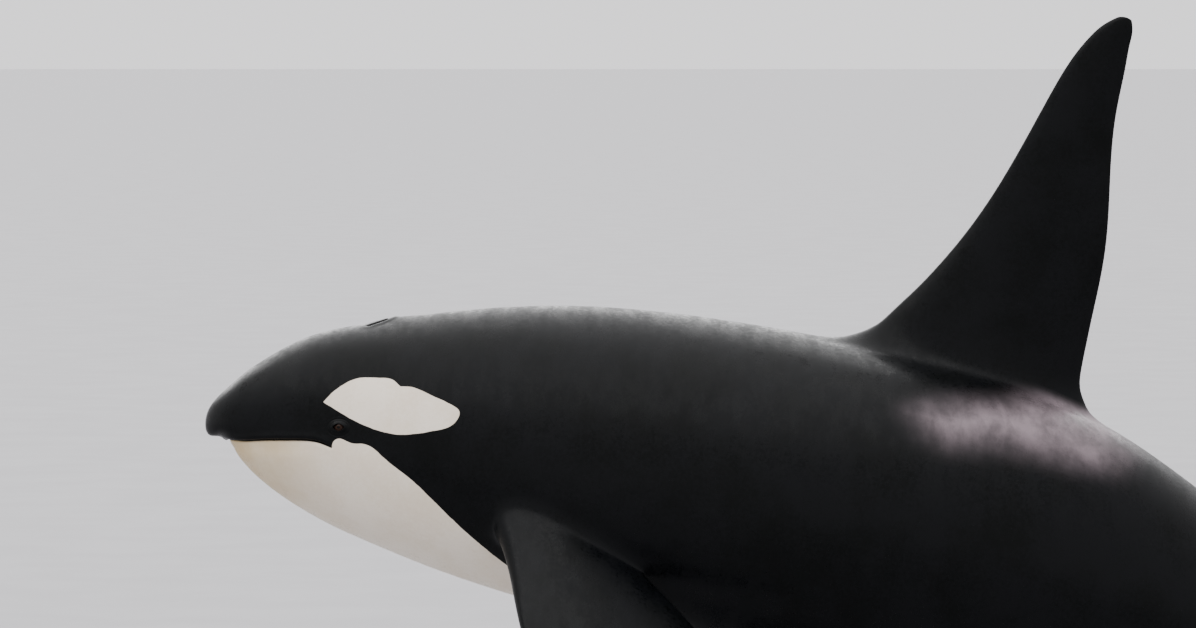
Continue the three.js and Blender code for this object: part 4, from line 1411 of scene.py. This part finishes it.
# A living eye: brown iris, wide dark pupil lying crossways, blood-tinged white at the corners,
# all under a clear wet surface
def eyeMaterial():
    material, tree, shader, noise = newMaterial("wet_eye", eyeLook["patterns"])
    spot = [addNode(tree, "Attribute", output="Fac", attribute_name=name) for name in ("aft", "up")]
    spot = addNode(tree, "CombineXYZ", spot)
    parts = []
    for name, pattern, low, high in (("iris", "fibres", 0.3, 0.7), ("white", "veins", 0.4, 0.65)):
        share = addNode(tree, "MapRange", [noise[pattern], low, high], **step)
        tints = {0: share, 6: eyeLook[name][0], 7: eyeLook[name][1]}
        parts.append(addNode(tree, "Mix", tints, 2, **paint))
    away = addNode(tree, "VectorMath", [spot], "Value", operation="LENGTH")
    away = addNode(tree, "MapRange", [away, *eyeLook["irisEdge"]], **step)
    ground = addNode(tree, "Mix", {0: away, 6: parts[0], 7: parts[1]}, 2, **paint)
    wide = addNode(tree, "VectorMath", [spot, eyeLook["pupilSize"]], operation="DIVIDE")
    wide = addNode(tree, "VectorMath", [wide, wide], "Value", operation="DOT_PRODUCT")
    pupil = addNode(tree, "MapRange", [wide, 0.9, 1.1], **step)
    tint = addNode(tree, "Mix", {0: pupil, 6: eyeLook["pupil"], 7: ground}, 2, **paint)
    fill(tree, shader, {"Base Color": tint, "Roughness": 0.08, "IOR": 1.2})
    return material


finishes = {
    # Powder coat on steel plate: matt grey, with the fine dimples of the sprayed and baked paint
    "powder_coat": {
        "patterns": {"clouds": (180, 4, 0.5), "grain": (3, 2, 0.5)},
        "tints": ("55585c", "5c5f63"),
        "roughness": (0.2, 0.8, 0.52, 0.68),
        "bump": (0.35, 0.0006),
    },
    # Satin stainless steel tube: fine turned lines round it stretch the highlights lengthwise
    "satin_steel": {
        "patterns": {"grain": (120, 4, 0.7, (0, 0, 0), (1, 1, 60))},
        "tints": ("b0b2b5", "babcbe"),
        "metallic": 1.0,
        "roughness": (0.25, 0.75, 0.29, 0.35),
        "bump": (0.05, 0.0003),
    },
    # Moulded rubber: near black, dull, faintly grained
    "rubber": {
        "patterns": {"grain": (4, 4, 0.5)},
        "tints": ("1b1b1c", "262627"),
        "roughness": 0.7,
        "bump": (0.3, 0.0005),
    },
    # Matt painted studio floor, a shade darker than the wall of light behind it
    "floor_paint": {
        "patterns": {"clouds": (900, 3, 0.5)},
        "tints": ("939295", "98979a"),
        "roughness": 0.75,
    },
}


def plainMaterial(name):
    look = finishes[name]
    material, tree, shader, noise = newMaterial(name, look["patterns"])
    grain = noise.get("grain")
    share = addNode(tree, "MapRange", [noise.get("clouds", grain), 0.3, 0.7], **step)
    tint = {0: share, 6: look["tints"][0], 7: look["tints"][1]}
    roughness = look["roughness"]
    if isinstance(roughness, tuple):
        roughness = addNode(tree, "MapRange", [grain, *roughness], **step)
    fill(tree, shader, {
        "Base Color": addNode(tree, "Mix", tint, 2, **paint),
        "Metallic": look.get("metallic", 0.0),
        "Roughness": roughness,
    })
    if "bump" in look:
        strength, distance = look["bump"]
        bump = {"Height": grain, "Strength": strength, "Distance": distance}
        fill(tree, shader, {"Normal": addNode(tree, "Bump", bump)})
    return material


dress(skinMaterial(), skin)
dress(eyeMaterial(), *eyes)
dress(plainMaterial("powder_coat"), *stands["paint"])
dress(plainMaterial("satin_steel"), *stands["steel"])
dress(plainMaterial("rubber"), *stands["rubber"])
print("materials done")


# Studio: a wide pale floor, pale light from all round and a soft broad light from above

studio = {
    "floor": 36000,
    "sky": "d9d8da",
    "skyStrength": 2.0,
    "lights": [  # name, strength, softness, degrees turned towards the camera and the snout
        ("overhead", 3.0, 75, 12, -14),
        ("behind", 2.3, 60, -52, -8),
    ],
}

view = {
    "fromSnout": (1.572, -23.9798, 1.4081),
    "down": 2.35,
    "pixels": 6000,  # focal length, for an image 1196 wide
    "imageWidth": 1196,
    "sensor": 36,
    "reach": 30000,
}

deselectAll()
bpy.ops.mesh.primitive_plane_add(size=studio["floor"])
floor = bpy.context.object
floor.name = "floor"
dress(plainMaterial("floor_paint"), floor)

world = bpy.data.worlds.new("pale_room")
bpy.context.scene.world = world
world.use_nodes = True
sky = {"Color": studio["sky"], "Strength": studio["skyStrength"]}
fill(world.node_tree, world.node_tree.nodes["Background"], sky)

for name, strength, softness, forward, across in studio["lights"]:
    turn = math.radians(forward), math.radians(across), 0
    bpy.ops.object.light_add(type="SUN", location=(0, 0, 10), rotation=turn)
    light = bpy.context.object
    light.name = name
    light.data.energy = strength
    light.data.angle = math.radians(softness)

bpy.ops.object.camera_add(
    location=snout + np.array(view["fromSnout"]), rotation=(math.radians(90 - view["down"]), 0, 0)
)
camera = bpy.context.object
camera.name = "camera"
camera.data.sensor_width = view["sensor"]
camera.data.lens = view["sensor"] * view["pixels"] / view["imageWidth"]
camera.data.clip_end = view["reach"]
bpy.context.scene.camera = camera
print("studio done")
